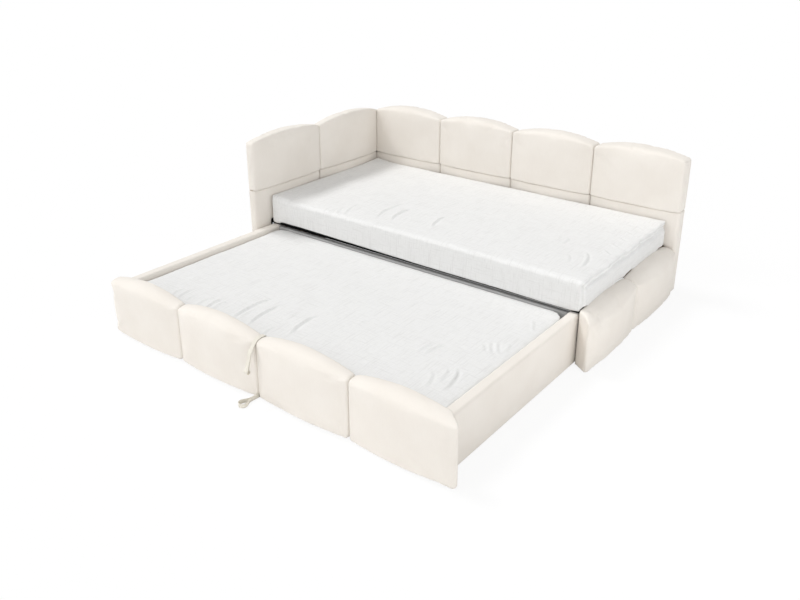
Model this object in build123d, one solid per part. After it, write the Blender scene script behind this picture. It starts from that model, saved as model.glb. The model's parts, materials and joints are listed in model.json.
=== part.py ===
from build123d import *
import os

# Upholstered daybed with an L-shaped back, a low foot end and a pull-out trundle.
# Millimetres, +Z up, +Y to the back, +X to the foot end. Working coordinates start at the
# inner corner of the L, on the floor; each part is moved to the middle of the floor area last.
# The trundle is drawn pulled out.

# Mattresses
mattress_thick = 134.0
mattress_crown = 10.0
mattress_edge_r = 28.0
mattress_low_r = 8.0
mattress_lip = 12.0
main_corner_r = 30.0
trundle_corner_r = 95.0
side_draw_in = 3.0
mattress_gap = 1.5
bed_depth = 970.0
side_overhang = 104.0
foot_overhang = 52.0
travel_overhang = 16.0

# Back: four modules along X
back_module = 497.0
back_modules = 4
seam_z = 728.0
arch_rise = 38.0
crease_z = 457.0
upper_proud = 25.0
lower_proud = 15.0
pad_crown = 16.0
outer_crown = 6.0
seam_r = 16.0
top_r = 30.0
outer_top_r = 24.0
side_top_r = 14.0
arch_corner_r = 20.0
crease_r = 9.0
hem_r = 6.0
back_thick = 90.0
back_core_thick = 18.0
back_outer_foam = 20.0
core_end_wrap = 12.0
core_top_wrap = 28.0

# Left end board: two modules along Y
side_modules = 2
side_thick = 52.0
side_core_thick = 20.0
side_inner_root = 15.0

# Foot end: two low modules facing +X, mitred at the front
foot_modules = 2
foot_thick = 67.0
foot_core_thick = 25.0
foot_lining = 5.0
foot_seam_z = 262.0
foot_arch = 18.0
foot_shoulder_r = 72.0
foot_core_top_wrap = 20.0

# Trundle front: four modules facing -Y, mitred at the right end
front_thick = 46.0
front_lining = 4.0
front_core_thick = 18.0
front_proud = 28.0
front_pad_crown = 18.0
front_seam_z = 267.0
front_shoulder_r = 52.0
front_modules = 4
front_end_gap = 12.0
mitre_gap = 4.0

# Trundle box
rail_thick = 50.0
rail_top_z = 245.0
rail_wrap = 9.0
rail_top_wrap = 5.0
rail_edge_r = 10.0
rail_side_gap = 5.0
rear_gap = 7.0
rear_rail_wall = 2.5
rear_rail_flange = 25.0
rear_rail_low_z = 62.0
rear_rail_drop = 9.0
trundle_hem_z = 3.0

# Deck of the main bed
beam_depth = 40.0
beam_height = 20.0
beam_wall = 2.0
beam_r = 3.0
beam_setback = 8.0
pass_gap = 2.0
slat_thick = 12.0
slat_width = 62.0
slat_count = 14
ledge_wall = 2.5
ledge_flange = 30.0
end_plate_length = 60.0
end_plate_height = 80.0
end_plate_thick = 3.0
pad_over_deck = 2.0

# Bearers, castors and wheels
bearer_width = 60.0
bearer_thick = 24.0
bearer_inset = 45.0
wheel_r = 25.0
wheel_width = 22.0
wheel_hub_r = 9.0
wheel_web = 12.0
wheel_rim = 6.0
axle_r = 4.0
axle_gap = 0.08
axle_head_r = 6.5
axle_head = 3.0
fork_wall = 2.5
fork_gap = 1.0
fork_plate = 56.0
fork_cheek = 26.0
wheel_inset = 90.0
castor_lift = 6.0

# Screws, pins, brackets and glides
screw_r = 3.5
screw_head_r = 6.0
screw_head = 3.0
screw_gap = 0.2
screw_length = 50.0
short_screw = 16.0
pin_r = 6.0
pin_length = 90.0
glide_r = 9.0
glide_thick = 3.0
bracket_leg = 28.0
bracket_wall = 2.5
bracket_height = 50.0
cam_r = 4.5

# Pull straps
strap_width = 20.0
strap_thick = 1.6
strap_fold = 3.2
strap_rise = 3.0
strap_tail = 55.0
strap_bend_r = 6.0
strap_bow_r = 44.0
strap_neck_r = 60.0
strap_brow = 30.0
strap_brow_front = 2.0
strap_cheek = 41.0
strap_cheek_drop = 52.0
strap_reach = 60.0
strap_hang = 118.0
strap_eye_r = 8.0
strap_knee = 20.0
strap_lean = 4.0
loop_reach = 112.0
loop_r = 20.0
loop_height = 20.0
loop_lift = 0.5

# Clearances
touch = 0.3
overrun = 50.0

# Lengths that follow the depth of the bed
side_module = (bed_depth + side_overhang) / side_modules
foot_module = (bed_depth + foot_overhang) / foot_modules
trundle_travel = bed_depth + travel_overhang

# Heights worked out from the sizes above
floor_z = glide_thick
deck_low_z = rail_top_z + pass_gap
deck_z = deck_low_z + beam_height
pad_low_z = deck_z + pad_over_deck
bearer_low_z = 2 * wheel_r + castor_lift
bearer_top_z = bearer_low_z + bearer_thick
trundle_deck_z = bearer_top_z + slat_thick
rear_rail_top_z = rail_top_z - rear_rail_drop

# Places in plan
back_right = back_module * back_modules
back_core_y = back_thick - back_outer_foam - back_core_thick
side_front = -side_module * side_modules
foot_front = -foot_module * foot_modules
foot_face = back_right - foot_thick
foot_core_x = foot_face + foot_lining
foot_core_out = foot_core_x + foot_core_thick
side_core_in = -side_inner_root
side_core_out = side_core_in - side_core_thick
closed_front = foot_front - mitre_gap
front_seam_y = closed_front - trundle_travel
front_back_y = front_seam_y + front_thick
front_core_back = front_back_y - front_lining
front_core_front = front_core_back - front_core_thick
front_left = front_end_gap
front_length = back_right - front_left - touch
front_module = front_length / front_modules
rail_left_x = lower_proud + rail_side_gap
rail_right_x = foot_face - rail_side_gap
trundle_inner_left = rail_left_x + rail_thick
trundle_inner_right = rail_right_x - rail_thick
trundle_rear = back_core_y - rear_gap - trundle_travel
rear_rail_front = trundle_rear - rear_rail_flange
beam_front = -bed_depth + beam_setback
beam_back = beam_front + beam_depth
strap_x = front_left + front_module * front_modules / 2
strap_tip = front_seam_y - loop_reach
foot_crest = back_right + upper_proud

# Middle of the floor area that the pulled-out bed covers
datum_x = (foot_crest - side_thick) / 2
datum_y = (back_thick + strap_tip) / 2


def span(x0, x1, y0, y1, z0, z1):
    """Box between two values on each axis."""
    block = Box(abs(x1 - x0), abs(y1 - y0), abs(z1 - z0))
    return Pos((x0 + x1) / 2, (y0 + y1) / 2, (z0 + z1) / 2) * block


def round_corner(face, point, radius):
    """Rounds the corner of a flat face that lies nearest to a point."""
    target = Vector(*point)
    corner = min(face.vertices(), key=lambda v: (Vector(v.X, v.Y, v.Z) - target).length)
    return fillet(corner, radius)


def plan_outline(length, proud, outer_y, crown, low_crown, draw_r, ext=0.0, ext_y=0.0):
    """Plan of a module, in its own frame: crowned face towards -Y, ends at X 0 and length.

    A positive ext carries the outer part past X 0 round a corner, to be mitred there."""
    edge_y = crown - proud
    outer_edge = outer_y - low_crown
    face_arc = ThreePointArc((0, edge_y), (length / 2, -proud), (length, edge_y))
    end_line = Line((length, edge_y), (length, outer_edge))
    if low_crown > 0:
        outer_arc = ThreePointArc((length, outer_edge), (length / 2, outer_y), (0, outer_edge))
    else:
        outer_arc = Line((length, outer_edge), (0, outer_edge))
    start_line = Line((0, outer_edge), (0, edge_y))
    face = make_face([face_arc, end_line, outer_arc, start_line])
    face = round_corner(face, (0, edge_y, 0), draw_r)
    face = round_corner(face, (length, edge_y, 0), draw_r)
    if low_crown == 0:
        return face
    face = round_corner(face, (length, outer_edge, 0), draw_r)
    if ext > 0:
        corner = Rectangle(ext + draw_r, outer_edge, align=(Align.MIN, Align.MIN))
        corner = Pos(-ext, 0) * corner
        corner = round_corner(corner, (-ext, outer_edge, 0), draw_r)
        face = face + corner
        deep = 2 * outer_y
        cut = Polyline((0, 0), (-2 * ext, 2 * ext_y), (-2 * ext, -deep), (deep, -deep), close=True)
        face = face - make_face(cut)
    else:
        face = round_corner(face, (0, outer_edge, 0), draw_r)
    return face


def front_outline(length, z0, z1, rise, top_corner, low_corner, ext=0.0):
    """Elevation of a module: flat foot, arched head, rounded corners."""
    foot = Line((0, z0), (length, z0))
    right = Line((length, z0), (length, z1))
    if rise > 0:
        head = ThreePointArc((length, z1), (length / 2, z1 + rise), (0, z1))
    else:
        head = Line((length, z1), (0, z1))
    left = Line((0, z1), (0, z0))
    face = make_face([foot, right, head, left])
    face = round_corner(face, (0, z1, 0), top_corner)
    face = round_corner(face, (length, z1, 0), top_corner)
    face = round_corner(face, (0, z0, 0), low_corner)
    face = round_corner(face, (length, z0, 0), low_corner)
    if ext > 0:
        high = z1 - top_corner / 2
        wing = Rectangle(ext + length / 2, high - z0, align=(Align.MIN, Align.MIN))
        face = face + Pos(-ext, z0) * wing
    return face


def side_outline(y0, y1, z0, z1, r_front_top, r_back_top, r_low):
    """End view of a module, Y across and Z up; a corner with no radius stays square."""
    face = make_face(Polyline((y0, z0), (y1, z0), (y1, z1), (y0, z1), close=True))
    corners = (
        ((y0, z1, 0), r_front_top),
        ((y1, z1, 0), r_back_top),
        ((y0, z0, 0), r_low),
        ((y1, z0, 0), r_low),
    )
    for point, radius in corners:
        if radius > 0:
            face = round_corner(face, point, radius)
    return face


def arched_rim(length, y0, y1, seam, rise, r_front, r_back):
    """Upright disc whose rounded rim follows the arched head of a module."""
    radius = length ** 2 / (8 * rise) + rise / 2
    section = side_outline(y0, y1, 0, radius, r_front, r_back, 0)
    disc = revolve(Plane.YZ * section, Axis.Y)
    return Pos(length / 2, 0, seam + rise - radius) * disc


def module_block(plan, front, side, length, depth, height, ext=0.0):
    """Solid that has the given plan, elevation and end view, by three crossing prisms."""
    upright = Pos(0, 0, -overrun) * extrude(plan, height + 2 * overrun)
    seen = Plane.XZ.offset(-depth) * front
    through = extrude(seen, 2 * depth)
    end = Plane.YZ.offset(-ext - overrun) * side
    along = extrude(end, length + ext + 2 * overrun)
    return upright & through & along


def to_left(local):
    """Turns a module so that its crowned face looks to +X and its length runs to +Y."""
    return Rot(0, 0, 90) * local


def hollow(pad, blocks):
    """Takes the room of the boards and linings out of a module."""
    for block in blocks:
        pad = pad - block
    return pad


def back_pads():
    """Upper and lower modules of the back, hollowed for the boards."""
    pads = []
    room = list(board_blocks().values())
    for i in range(back_modules):
        ext = side_thick if i == 0 else 0.0
        place = Pos(back_module * i, 0, 0)
        for level in ("upper", "lower"):
            proud = upper_proud if level == "upper" else lower_proud
            plan = plan_outline(back_module, proud, back_thick, pad_crown, outer_crown,
                                seam_r, ext, back_thick)
            if level == "upper":
                front = front_outline(back_module, crease_z, seam_z, arch_rise,
                                      arch_corner_r, crease_r, ext)
                side = side_outline(-proud, back_thick, crease_z, seam_z + arch_rise,
                                    0, 0, crease_r)
            else:
                front = front_outline(back_module, floor_z, crease_z, 0, crease_r, hem_r, ext)
                side = side_outline(-proud, back_thick, floor_z, crease_z,
                                    crease_r, crease_r, hem_r)
            block = module_block(plan, front, side, back_module, 2 * back_thick, seam_z, ext)
            if level == "upper":
                block = block & arched_rim(back_module, -proud, back_thick, seam_z, arch_rise,
                                           top_r, top_r)
            pad = hollow(place * block, room)
            if level == "lower":
                low = floor_z - overrun
                pad = pad - span(-overrun, foot_core_x, -overrun, back_core_y, low, pad_low_z)
                pad = pad - span(foot_core_x, back_right + overrun, -overrun, touch, low, pad_low_z)
            pads.append((f"back_{level}_pad_{i + 1}", pad))
    return pads


def side_pads():
    """Upper and lower modules of the left end board, numbered from the front."""
    pads = []
    room = list(board_blocks().values())
    for i in range(side_modules):
        last = i == side_modules - 1
        ext = back_thick if last else 0.0
        for level in ("upper", "lower"):
            proud = upper_proud if level == "upper" else lower_proud
            plan = plan_outline(side_module, proud, side_thick, pad_crown, outer_crown,
                                seam_r, ext, side_thick)
            if level == "upper":
                front = front_outline(side_module, crease_z, seam_z, arch_rise,
                                      arch_corner_r, crease_r, ext)
                side = side_outline(-proud, side_thick, crease_z, seam_z + arch_rise,
                                    0, 0, crease_r)
            else:
                front = front_outline(side_module, floor_z, crease_z, 0, crease_r, hem_r, ext)
                side = side_outline(-proud, side_thick, floor_z, crease_z,
                                    crease_r, crease_r, hem_r)
            block = module_block(plan, front, side, side_module, 2 * back_thick, seam_z, ext)
            if level == "upper":
                block = block & arched_rim(side_module, -proud, side_thick, seam_z, arch_rise,
                                           side_top_r, outer_top_r)
            if last:
                block = Pos(side_module, 0, 0) * mirror(block, Plane.YZ)
            pad = Pos(0, side_front + side_module * i, 0) * to_left(block)
            pad = hollow(pad, room)
            if level == "lower":
                low = floor_z - overrun
                start = beam_front - pad_over_deck
                pad = pad - span(side_core_in, overrun, start, overrun, low, pad_low_z)
            pads.append((f"side_{level}_pad_{i + 1}", pad))
    return pads


def screw(length):
    """Countersunk screw along -Z with its head's top at Z 0."""
    shank = Pos(0, 0, -length / 2) * Cylinder(screw_r, length)
    head = Pos(0, 0, -screw_head / 2) * Cone(screw_r, screw_head_r, screw_head)
    return shank + head


def screw_hole(length):
    """Room for a screw: the same form, wider and longer by the screw's clearance."""
    shank = Pos(0, 0, -length / 2) * Cylinder(screw_r + screw_gap, length + 2 * screw_gap)
    cone = Cone(screw_r + screw_gap, screw_head_r + screw_gap, screw_head + screw_gap)
    return shank + Pos(0, 0, -(screw_head + screw_gap) / 2) * cone


def heads_back(spots, shape):
    """Copies of a screw whose heads look to +Y."""
    return [Pos(*spot) * Rot(-90, 0, 0) * shape for spot in spots]


def corner_screw_spots():
    """Screws that hold the side and foot boards to the back board."""
    side_x = side_core_in - side_core_thick / 2
    foot_x = foot_core_x + foot_core_thick / 2
    back_face = back_core_y + back_core_thick
    levels = [foot_seam_z * share for share in corner_screw_shares]
    return [(x, back_face, z) for x in (side_x, foot_x) for z in levels]


corner_screw_shares = (0.2, 0.5, 0.8)
pin_shares = (0.12, 0.38, 0.62, 0.88)


def pin_spots():
    """Upright pins between lower and upper boards."""
    back_y = back_core_y + back_core_thick / 2
    side_x = side_core_in - side_core_thick / 2
    spots = [(back_right * share, back_y, crease_z) for share in pin_shares]
    spots += [(side_x, side_front * share, crease_z) for share in pin_shares[1:3]]
    return spots


def beam_bolts(shape):
    """Screws through the beam's end plates into the side and foot boards."""
    y = beam_front + end_plate_length / 2
    levels = [deck_z - end_plate_height * share for share in beam_bolt_shares]
    left_x = side_core_in + end_plate_thick
    right_x = foot_face - end_plate_thick
    left = [Pos(left_x, y, z) * Rot(0, 90, 0) * shape for z in levels]
    right = [Pos(right_x, y, z) * Rot(0, -90, 0) * shape for z in levels]
    return left + right


beam_bolt_shares = (0.5, 0.82)


def board_blocks():
    """Plain board cores of the back, left end and foot end."""
    side_end = side_front + core_end_wrap
    right_end = back_right - core_end_wrap
    core_top = seam_z - core_top_wrap
    back_y1 = back_core_y + back_core_thick
    back_low = span(side_core_out, right_end, back_core_y, back_y1, floor_z, crease_z)
    back_up = span(side_core_out, right_end, back_core_y, back_y1, crease_z, core_top)
    side_low = span(side_core_out, side_core_in, side_end, back_core_y, floor_z, crease_z)
    side_up = span(side_core_out, side_core_in, side_end, back_core_y, crease_z, core_top)
    foot_start = foot_front + foot_thick
    foot_top = foot_seam_z - foot_core_top_wrap
    foot = span(foot_core_x, foot_core_out, foot_start, back_core_y, floor_z, foot_top)
    return {
        "back_lower_board": back_low,
        "back_upper_board": back_up,
        "side_lower_board": side_low,
        "side_upper_board": side_up,
        "foot_board": foot,
    }


def boards():
    """The board cores drilled for their screws and pins."""
    pin_hole = Cylinder(pin_r + screw_gap, pin_length + 2 * screw_gap)
    pins = [Pos(*spot) * pin_hole for spot in pin_spots()]
    corner = heads_back(corner_screw_spots(), screw_hole(screw_length))
    bolts = beam_bolts(screw_hole(short_screw))
    ledge = ledge_screws(screw_hole(short_screw))
    drilled = []
    for name, board in board_blocks().items():
        for hole in pins + corner + bolts + ledge:
            board = board - hole
        drilled.append((name, board))
    return drilled


def ledge_screws(shape):
    """Screws of the back slat ledge, heads to -Y."""
    face = back_core_y - ledge_wall
    mid_z = deck_z - slat_thick + beam_height / 4
    return [Pos(back_right * share, face, mid_z) * Rot(90, 0, 0) * shape
            for share in ledge_screw_shares]


ledge_screw_shares = (0.05, 0.275, 0.5, 0.725, 0.93)


def foot_pads():
    """Two low modules of the foot end; the front one is cut to the mitre."""
    pads = []
    room = [board_blocks()["foot_board"], foot_lining_block()]
    for i in range(foot_modules):
        plan = plan_outline(foot_module, upper_proud, foot_thick, pad_crown, 0, seam_r)
        front = front_outline(foot_module, floor_z, foot_seam_z, foot_arch,
                              arch_corner_r, hem_r)
        side = side_outline(-upper_proud, foot_thick, floor_z, foot_seam_z + foot_arch,
                            0, 0, hem_r)
        block = module_block(plan, front, side, foot_module, 2 * foot_thick, foot_seam_z)
        block = block & arched_rim(foot_module, -upper_proud, foot_thick, foot_seam_z,
                                   foot_arch, foot_shoulder_r, hem_r)
        pad = Pos(back_right, foot_front + foot_module * i, 0) * to_left(block)
        pad = hollow(pad, room)
        if i == 0:
            pad = pad - mitre_wedge(foot_front)
        pads.append((f"foot_pad_{i + 1}", pad))
    return pads


def mitre_wedge(seam_y, behind=False):
    """Prism on one side of the mitre line, which joins the outer corner to the inner one."""
    outer = (back_right, seam_y)
    inner = (foot_face, seam_y + front_thick)
    run = (outer[0] - inner[0], outer[1] - inner[1])
    reach = front_length / abs(run[0])
    far_out = (outer[0] + run[0] * reach, outer[1] + run[1] * reach)
    far_in = (inner[0] - run[0], inner[1] - run[1])
    side_y = seam_y + front_length if behind else seam_y - front_length
    corners = (far_out, far_in, (far_in[0], side_y), (far_out[0], side_y))
    wedge = extrude(make_face(Polyline(*corners, close=True)), seam_z)
    return wedge


def front_pads():
    """Four modules of the trundle front; the last is cut to the mitre."""
    pads = []
    room = [front_board_block(), front_lining_block(), strap_slot()]
    crest_z = front_seam_z + arch_rise
    for i in range(front_modules):
        plan = plan_outline(front_module, front_proud, front_thick, front_pad_crown, 0, seam_r)
        front = front_outline(front_module, trundle_hem_z, front_seam_z, arch_rise,
                              arch_corner_r, arch_corner_r)
        side = side_outline(-front_proud, front_thick, trundle_hem_z, crest_z, 0, 0, hem_r)
        block = module_block(plan, front, side, front_module, 2 * foot_thick, front_seam_z)
        block = block & arched_rim(front_module, -front_proud, front_thick, front_seam_z,
                                   arch_rise, front_shoulder_r, hem_r)
        pad = Pos(front_left + front_module * i, front_seam_y, 0) * block
        pad = hollow(pad, room)
        for x0 in (rail_left_x, trundle_inner_right):
            pad = pad - span(x0, x0 + rail_thick, front_core_back, front_back_y + touch,
                             trundle_hem_z, rail_top_z)
        if i == front_modules - 1:
            pad = pad - mitre_wedge(front_seam_y, behind=True)
        pads.append((f"front_pad_{i + 1}", pad))
    return pads


def front_board_block():
    """Plain board core of the trundle front."""
    left = front_left + core_end_wrap
    return span(left, rail_right_x, front_core_front, front_core_back, trundle_hem_z, rail_top_z)


def front_board():
    """The trundle's front board drilled for the rail screws."""
    board = front_board_block()
    for room in rail_screws(screw_hole(screw_length)):
        board = board - room
    return board


def rail_screws(shape):
    """Screws through the front board into the ends of the side rails, heads to -Y."""
    xs = (rail_left_x + rail_thick / 2, rail_right_x - rail_thick / 2)
    levels = [rail_top_z * share for share in corner_screw_shares]
    return [Pos(x, front_core_front, z) * Rot(90, 0, 0) * shape for x in xs for z in levels]


def side_rails():
    """Board cores of the two trundle sides and the fabric wrapped over them."""
    parts = []
    core_y0 = front_core_back
    core_y1 = trundle_rear - rail_top_wrap
    for name, x0 in (("left", rail_left_x), ("right", trundle_inner_right)):
        core = span(x0 + rail_wrap, x0 + rail_thick - rail_wrap, core_y0, core_y1,
                    trundle_hem_z, rail_top_z - rail_top_wrap)
        end = make_face(Polyline((x0, trundle_hem_z), (x0 + rail_thick, trundle_hem_z),
                                 (x0 + rail_thick, rail_top_z), (x0, rail_top_z), close=True))
        end = round_corner(end, (x0, rail_top_z, 0), rail_edge_r)
        end = round_corner(end, (x0 + rail_thick, rail_top_z, 0), rail_edge_r)
        skin = extrude(Plane.XZ.offset(-trundle_rear) * end, trundle_rear - core_y0)
        skin = skin - core
        for room in rail_screws(screw_hole(screw_length)):
            core = core - room
        for room in tab_screws(screw_hole(short_screw)) + bearer_screws(screw_hole(short_screw)):
            core = core - room
            skin = skin - room
        parts.append((f"trundle_{name}_board", core))
        parts.append((f"trundle_{name}_cover", skin))
    return parts


def tab_screws(shape):
    """Screws from the rear rail's end plates into the side rails."""
    y = trundle_rear - rear_rail_flange / 2
    left_face = trundle_inner_left + rear_rail_wall
    right_face = trundle_inner_right - rear_rail_wall
    height = rear_rail_top_z - rear_rail_low_z
    levels = [rear_rail_low_z + height * share for share in corner_screw_shares[::2]]
    left = [Pos(left_face, y, z) * Rot(0, 90, 0) * shape for z in levels]
    right = [Pos(right_face, y, z) * Rot(0, -90, 0) * shape for z in levels]
    return left + right


def rear_rail():
    """Folded steel channel across the back of the trundle, open to the rear."""
    x0 = trundle_inner_left
    x1 = trundle_inner_right
    y0 = rear_rail_front
    y1 = trundle_rear
    outer = span(x0, x1, y0, y1, rear_rail_low_z, rear_rail_top_z)
    hollow = span(x0 + rear_rail_wall, x1 - rear_rail_wall, y0 + rear_rail_wall, y1 + overrun,
                  rear_rail_low_z + rear_rail_wall, rear_rail_top_z - rear_rail_wall)
    rail = outer - hollow
    for room in tab_screws(screw_hole(short_screw)):
        rail = rail - room
    return rail


def bearer_places():
    """Y of the middle of the front, middle and rear bearers."""
    front = front_back_y + bearer_inset + bearer_width / 2
    rear = rear_rail_front - bearer_inset - bearer_width / 2
    return (("front", front), ("middle", (front + rear) / 2), ("rear", rear))


def bearers():
    """Timber bearers between the side rails; they carry the slats and the castors."""
    parts = []
    for name, y in bearer_places():
        bearer = span(trundle_inner_left, trundle_inner_right, y - bearer_width / 2,
                      y + bearer_width / 2, bearer_low_z, bearer_top_z)
        if name != "middle":
            for room in castor_screws(screw_hole(short_screw)):
                bearer = bearer - room
        parts.append((f"bearer_{name}", bearer))
    return parts


def bearer_brackets():
    """Steel angles under the bearer ends, against the side rails."""
    group = []
    for name, y in bearer_places():
        half = bearer_width / 2
        for x, sign in ((trundle_inner_left, 1), (trundle_inner_right, -1)):
            top = bearer_low_z
            seat = span(x, x + sign * bracket_leg, y - half, y + half, top - bracket_wall, top)
            wall = span(x, x + sign * bracket_wall, y - half, y + half,
                        top - bracket_leg, top)
            group.append(seat + wall)
    angles = Compound(children=group)
    for room in bearer_screws(screw_hole(short_screw)):
        angles = angles - room
    return angles


def bearer_screws(shape):
    """One screw through each bearer bracket into the side rail."""
    z = bearer_low_z - bracket_leg / 2
    left_face = trundle_inner_left + bracket_wall
    right_face = trundle_inner_right - bracket_wall
    screws = []
    for name, y in bearer_places():
        screws.append(Pos(left_face, y, z) * Rot(0, 90, 0) * shape)
        screws.append(Pos(right_face, y, z) * Rot(0, -90, 0) * shape)
    return screws


def castor_spots():
    """Middle of each wheel in plan, numbered front left, front right, rear left, rear right."""
    ys = (bearer_places()[0][1], bearer_places()[2][1])
    xs = (trundle_inner_left + wheel_inset, trundle_inner_right - wheel_inset)
    return [(x, y) for y in ys for x in xs]


def castor_screws(shape):
    """Four screws up through each castor plate into its bearer."""
    offset = fork_plate / 2 - screw_head_r - fork_wall
    spots = [(x + sx * offset, y + sy * offset) for x, y in castor_spots()
             for sx in (-1, 1) for sy in (-1, 1)]
    plate_low = bearer_low_z - fork_wall
    return [Pos(x, y, plate_low) * Rot(180, 0, 0) * shape for x, y in spots]


def castor_forks():
    """Fixed steel forks: a plate with two cheeks that carry the axle."""
    gap = wheel_width / 2 + fork_gap
    forks = []
    for x, y in castor_spots():
        top = bearer_low_z
        half = fork_plate / 2
        fork = span(x - half, x + half, y - half, y + half, top - fork_wall, top)
        for sign in (-1, 1):
            inner = x + sign * gap
            outer = inner + sign * fork_wall
            cheek = span(inner, outer, y - fork_cheek / 2, y + fork_cheek / 2, wheel_r, top)
            nose = Pos((inner + outer) / 2, y, wheel_r) * Rot(0, 90, 0)
            fork = fork + cheek + nose * Cylinder(fork_cheek / 2, fork_wall)
        bore = Pos(x, y, wheel_r) * Rot(0, 90, 0) * Cylinder(axle_r + axle_gap, 2 * fork_plate)
        forks.append(fork - bore)
    group = Compound(children=forks)
    for room in castor_screws(screw_hole(short_screw)):
        group = group - room
    return group


def castor_axles():
    """Riveted axle pins through the forks."""
    reach = wheel_width / 2 + fork_gap + fork_wall
    pins = []
    for x, y in castor_spots():
        turn = Pos(x, y, wheel_r) * Rot(0, 90, 0)
        pin = Cylinder(axle_r, 2 * reach)
        for sign in (-1, 1):
            pin = pin + Pos(0, 0, sign * (reach + axle_head / 2)) * Cylinder(axle_head_r, axle_head)
        pins.append(turn * pin)
    return Compound(children=pins)


def castor_wheel(x, y):
    """Moulded wheel: rounded tread, recessed web and a longer hub."""
    half = wheel_width / 2
    web = wheel_web / 2
    bore = axle_r + axle_gap
    rim_in = wheel_r - wheel_rim
    section = Polyline((bore, -half), (wheel_hub_r, -half), (wheel_hub_r, -web), (rim_in, -web),
                       (rim_in, -half), (wheel_r, -half), (wheel_r, half), (rim_in, half),
                       (rim_in, web), (wheel_hub_r, web), (wheel_hub_r, half), (bore, half),
                       close=True)
    face = make_face(section)
    face = round_corner(face, (wheel_r, -half, 0), wheel_rim / 2)
    face = round_corner(face, (wheel_r, half, 0), wheel_rim / 2)
    wheel = revolve(face, Axis.Y)
    return Pos(x, y, wheel_r) * Rot(0, 0, 90) * wheel


def slats(x0, x1, y0, y1, top):
    """Row of slats along Y, evenly spaced between two faces."""
    pitch = (x1 - x0) / slat_count
    row = []
    for i in range(slat_count):
        mid = x0 + pitch * (i + share_of_pitch)
        row.append(span(mid - slat_width / 2, mid + slat_width / 2, y0, y1,
                        top - slat_thick, top))
    return Compound(children=row)


share_of_pitch = 0.5


def front_beam():
    """Black steel tube under the front edge of the main mattress."""
    x0 = side_core_in + end_plate_thick
    x1 = foot_face - end_plate_thick
    section = make_face(Polyline((beam_front, deck_low_z), (beam_back, deck_low_z),
                                 (beam_back, deck_z), (beam_front, deck_z), close=True))
    section = fillet(section.vertices(), beam_r)
    hole = make_face(Polyline((beam_front + beam_wall, deck_low_z + beam_wall),
                              (beam_back - beam_wall, deck_low_z + beam_wall),
                              (beam_back - beam_wall, deck_z - beam_wall),
                              (beam_front + beam_wall, deck_z - beam_wall), close=True))
    return extrude(Plane.YZ.offset(x0) * (section - hole), x1 - x0)


def beam_end_plates():
    """Plates welded to the ends of the beam and bolted to the end boards."""
    plate_back = beam_front + end_plate_length
    plate_low = deck_z - end_plate_height
    left = span(side_core_in, side_core_in + end_plate_thick, beam_front, plate_back,
                plate_low, deck_z)
    right = span(foot_face - end_plate_thick, foot_face, beam_front, plate_back,
                 plate_low, deck_z)
    plates = left + right
    for room in beam_bolts(screw_hole(short_screw)):
        plates = plates - room
    return plates


def slat_ledges():
    """Steel angles that carry the slat ends: one on the beam, one on the back board."""
    seat_z = deck_z - slat_thick
    low = seat_z - ledge_wall
    x0 = side_core_in + end_plate_thick + touch
    x1 = foot_face - end_plate_thick - touch
    front_seat = span(x0, x1, beam_back, beam_back + ledge_flange, low, seat_z)
    front_wall = span(x0, x1, beam_back, beam_back + ledge_wall, deck_low_z, seat_z)
    back_seat = span(x0, x1, back_core_y - ledge_flange, back_core_y, low, seat_z)
    back_wall = span(x0, x1, back_core_y - ledge_wall, back_core_y, low, deck_z)
    back_ledge = back_seat + back_wall
    for room in ledge_screws(screw_hole(short_screw)):
        back_ledge = back_ledge - room
    return front_seat + front_wall, back_ledge


def cushion(x0, x1, y0, y1, z0, corner_r):
    """Mattress: crowned top, soft upper edges, tight lower ones and sides drawn in between
    the corners."""
    mid_x = (x0 + x1) / 2
    mid_y = (y0 + y1) / 2
    draw = side_draw_in
    south = ThreePointArc((x0, y0), (mid_x, y0 + draw), (x1, y0))
    east = ThreePointArc((x1, y0), (x1 - draw, mid_y), (x1, y1))
    north = ThreePointArc((x1, y1), (mid_x, y1 - draw), (x0, y1))
    west = ThreePointArc((x0, y1), (x0 + draw, mid_y), (x0, y0))
    plan = make_face([south, east, north, west])
    plan = fillet(plan.vertices(), corner_r)
    z1 = z0 + mattress_thick
    crest = z1 + mattress_crown
    upright = Pos(0, 0, z0 - overrun) * extrude(plan, mattress_thick + 3 * overrun)

    def end_view(a, b):
        foot = Line((a, z0), (b, z0))
        right = Line((b, z0), (b, z1))
        head = ThreePointArc((b, z1), ((a + b) / 2, crest), (a, z1))
        left = Line((a, z1), (a, z0))
        face = make_face([foot, right, head, left])
        for end in (a, b):
            face = round_corner(face, (end, z1, 0), mattress_edge_r)
            face = round_corner(face, (end, z0, 0), mattress_low_r)
        return face

    through = extrude(Plane.XZ.offset(-y1 - overrun) * end_view(x0, x1), y1 - y0 + 2 * overrun)
    along = extrude(Plane.YZ.offset(x0 - overrun) * end_view(y0, y1), x1 - x0 + 2 * overrun)
    return upright & through & along


def main_mattress():
    """Mattress of the fixed bed; above the crest of the foot end it swells out over it."""
    crest = foot_seam_z + foot_arch + touch
    whole = cushion(lower_proud + touch, foot_face + mattress_lip, -bed_depth,
                    -lower_proud - touch, deck_z + touch, main_corner_r)
    return whole - span(foot_face - touch, foot_face + overrun, -bed_depth - overrun, overrun,
                        deck_z - overrun, crest)


def corner_brackets():
    """Steel angles in the corner between back board and left end board."""
    angles = []
    for share in bracket_shares:
        z = deck_low_z * share
        top = z + bracket_height
        leg = side_core_in + bracket_leg
        on_back = span(side_core_in, leg, back_core_y - bracket_wall, back_core_y, z, top)
        on_side = span(side_core_in, side_core_in + bracket_wall,
                       back_core_y - bracket_leg, back_core_y, z, top)
        angles.append(on_back + on_side)
    return Compound(children=angles)


bracket_shares = (0.15, 0.6)


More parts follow.
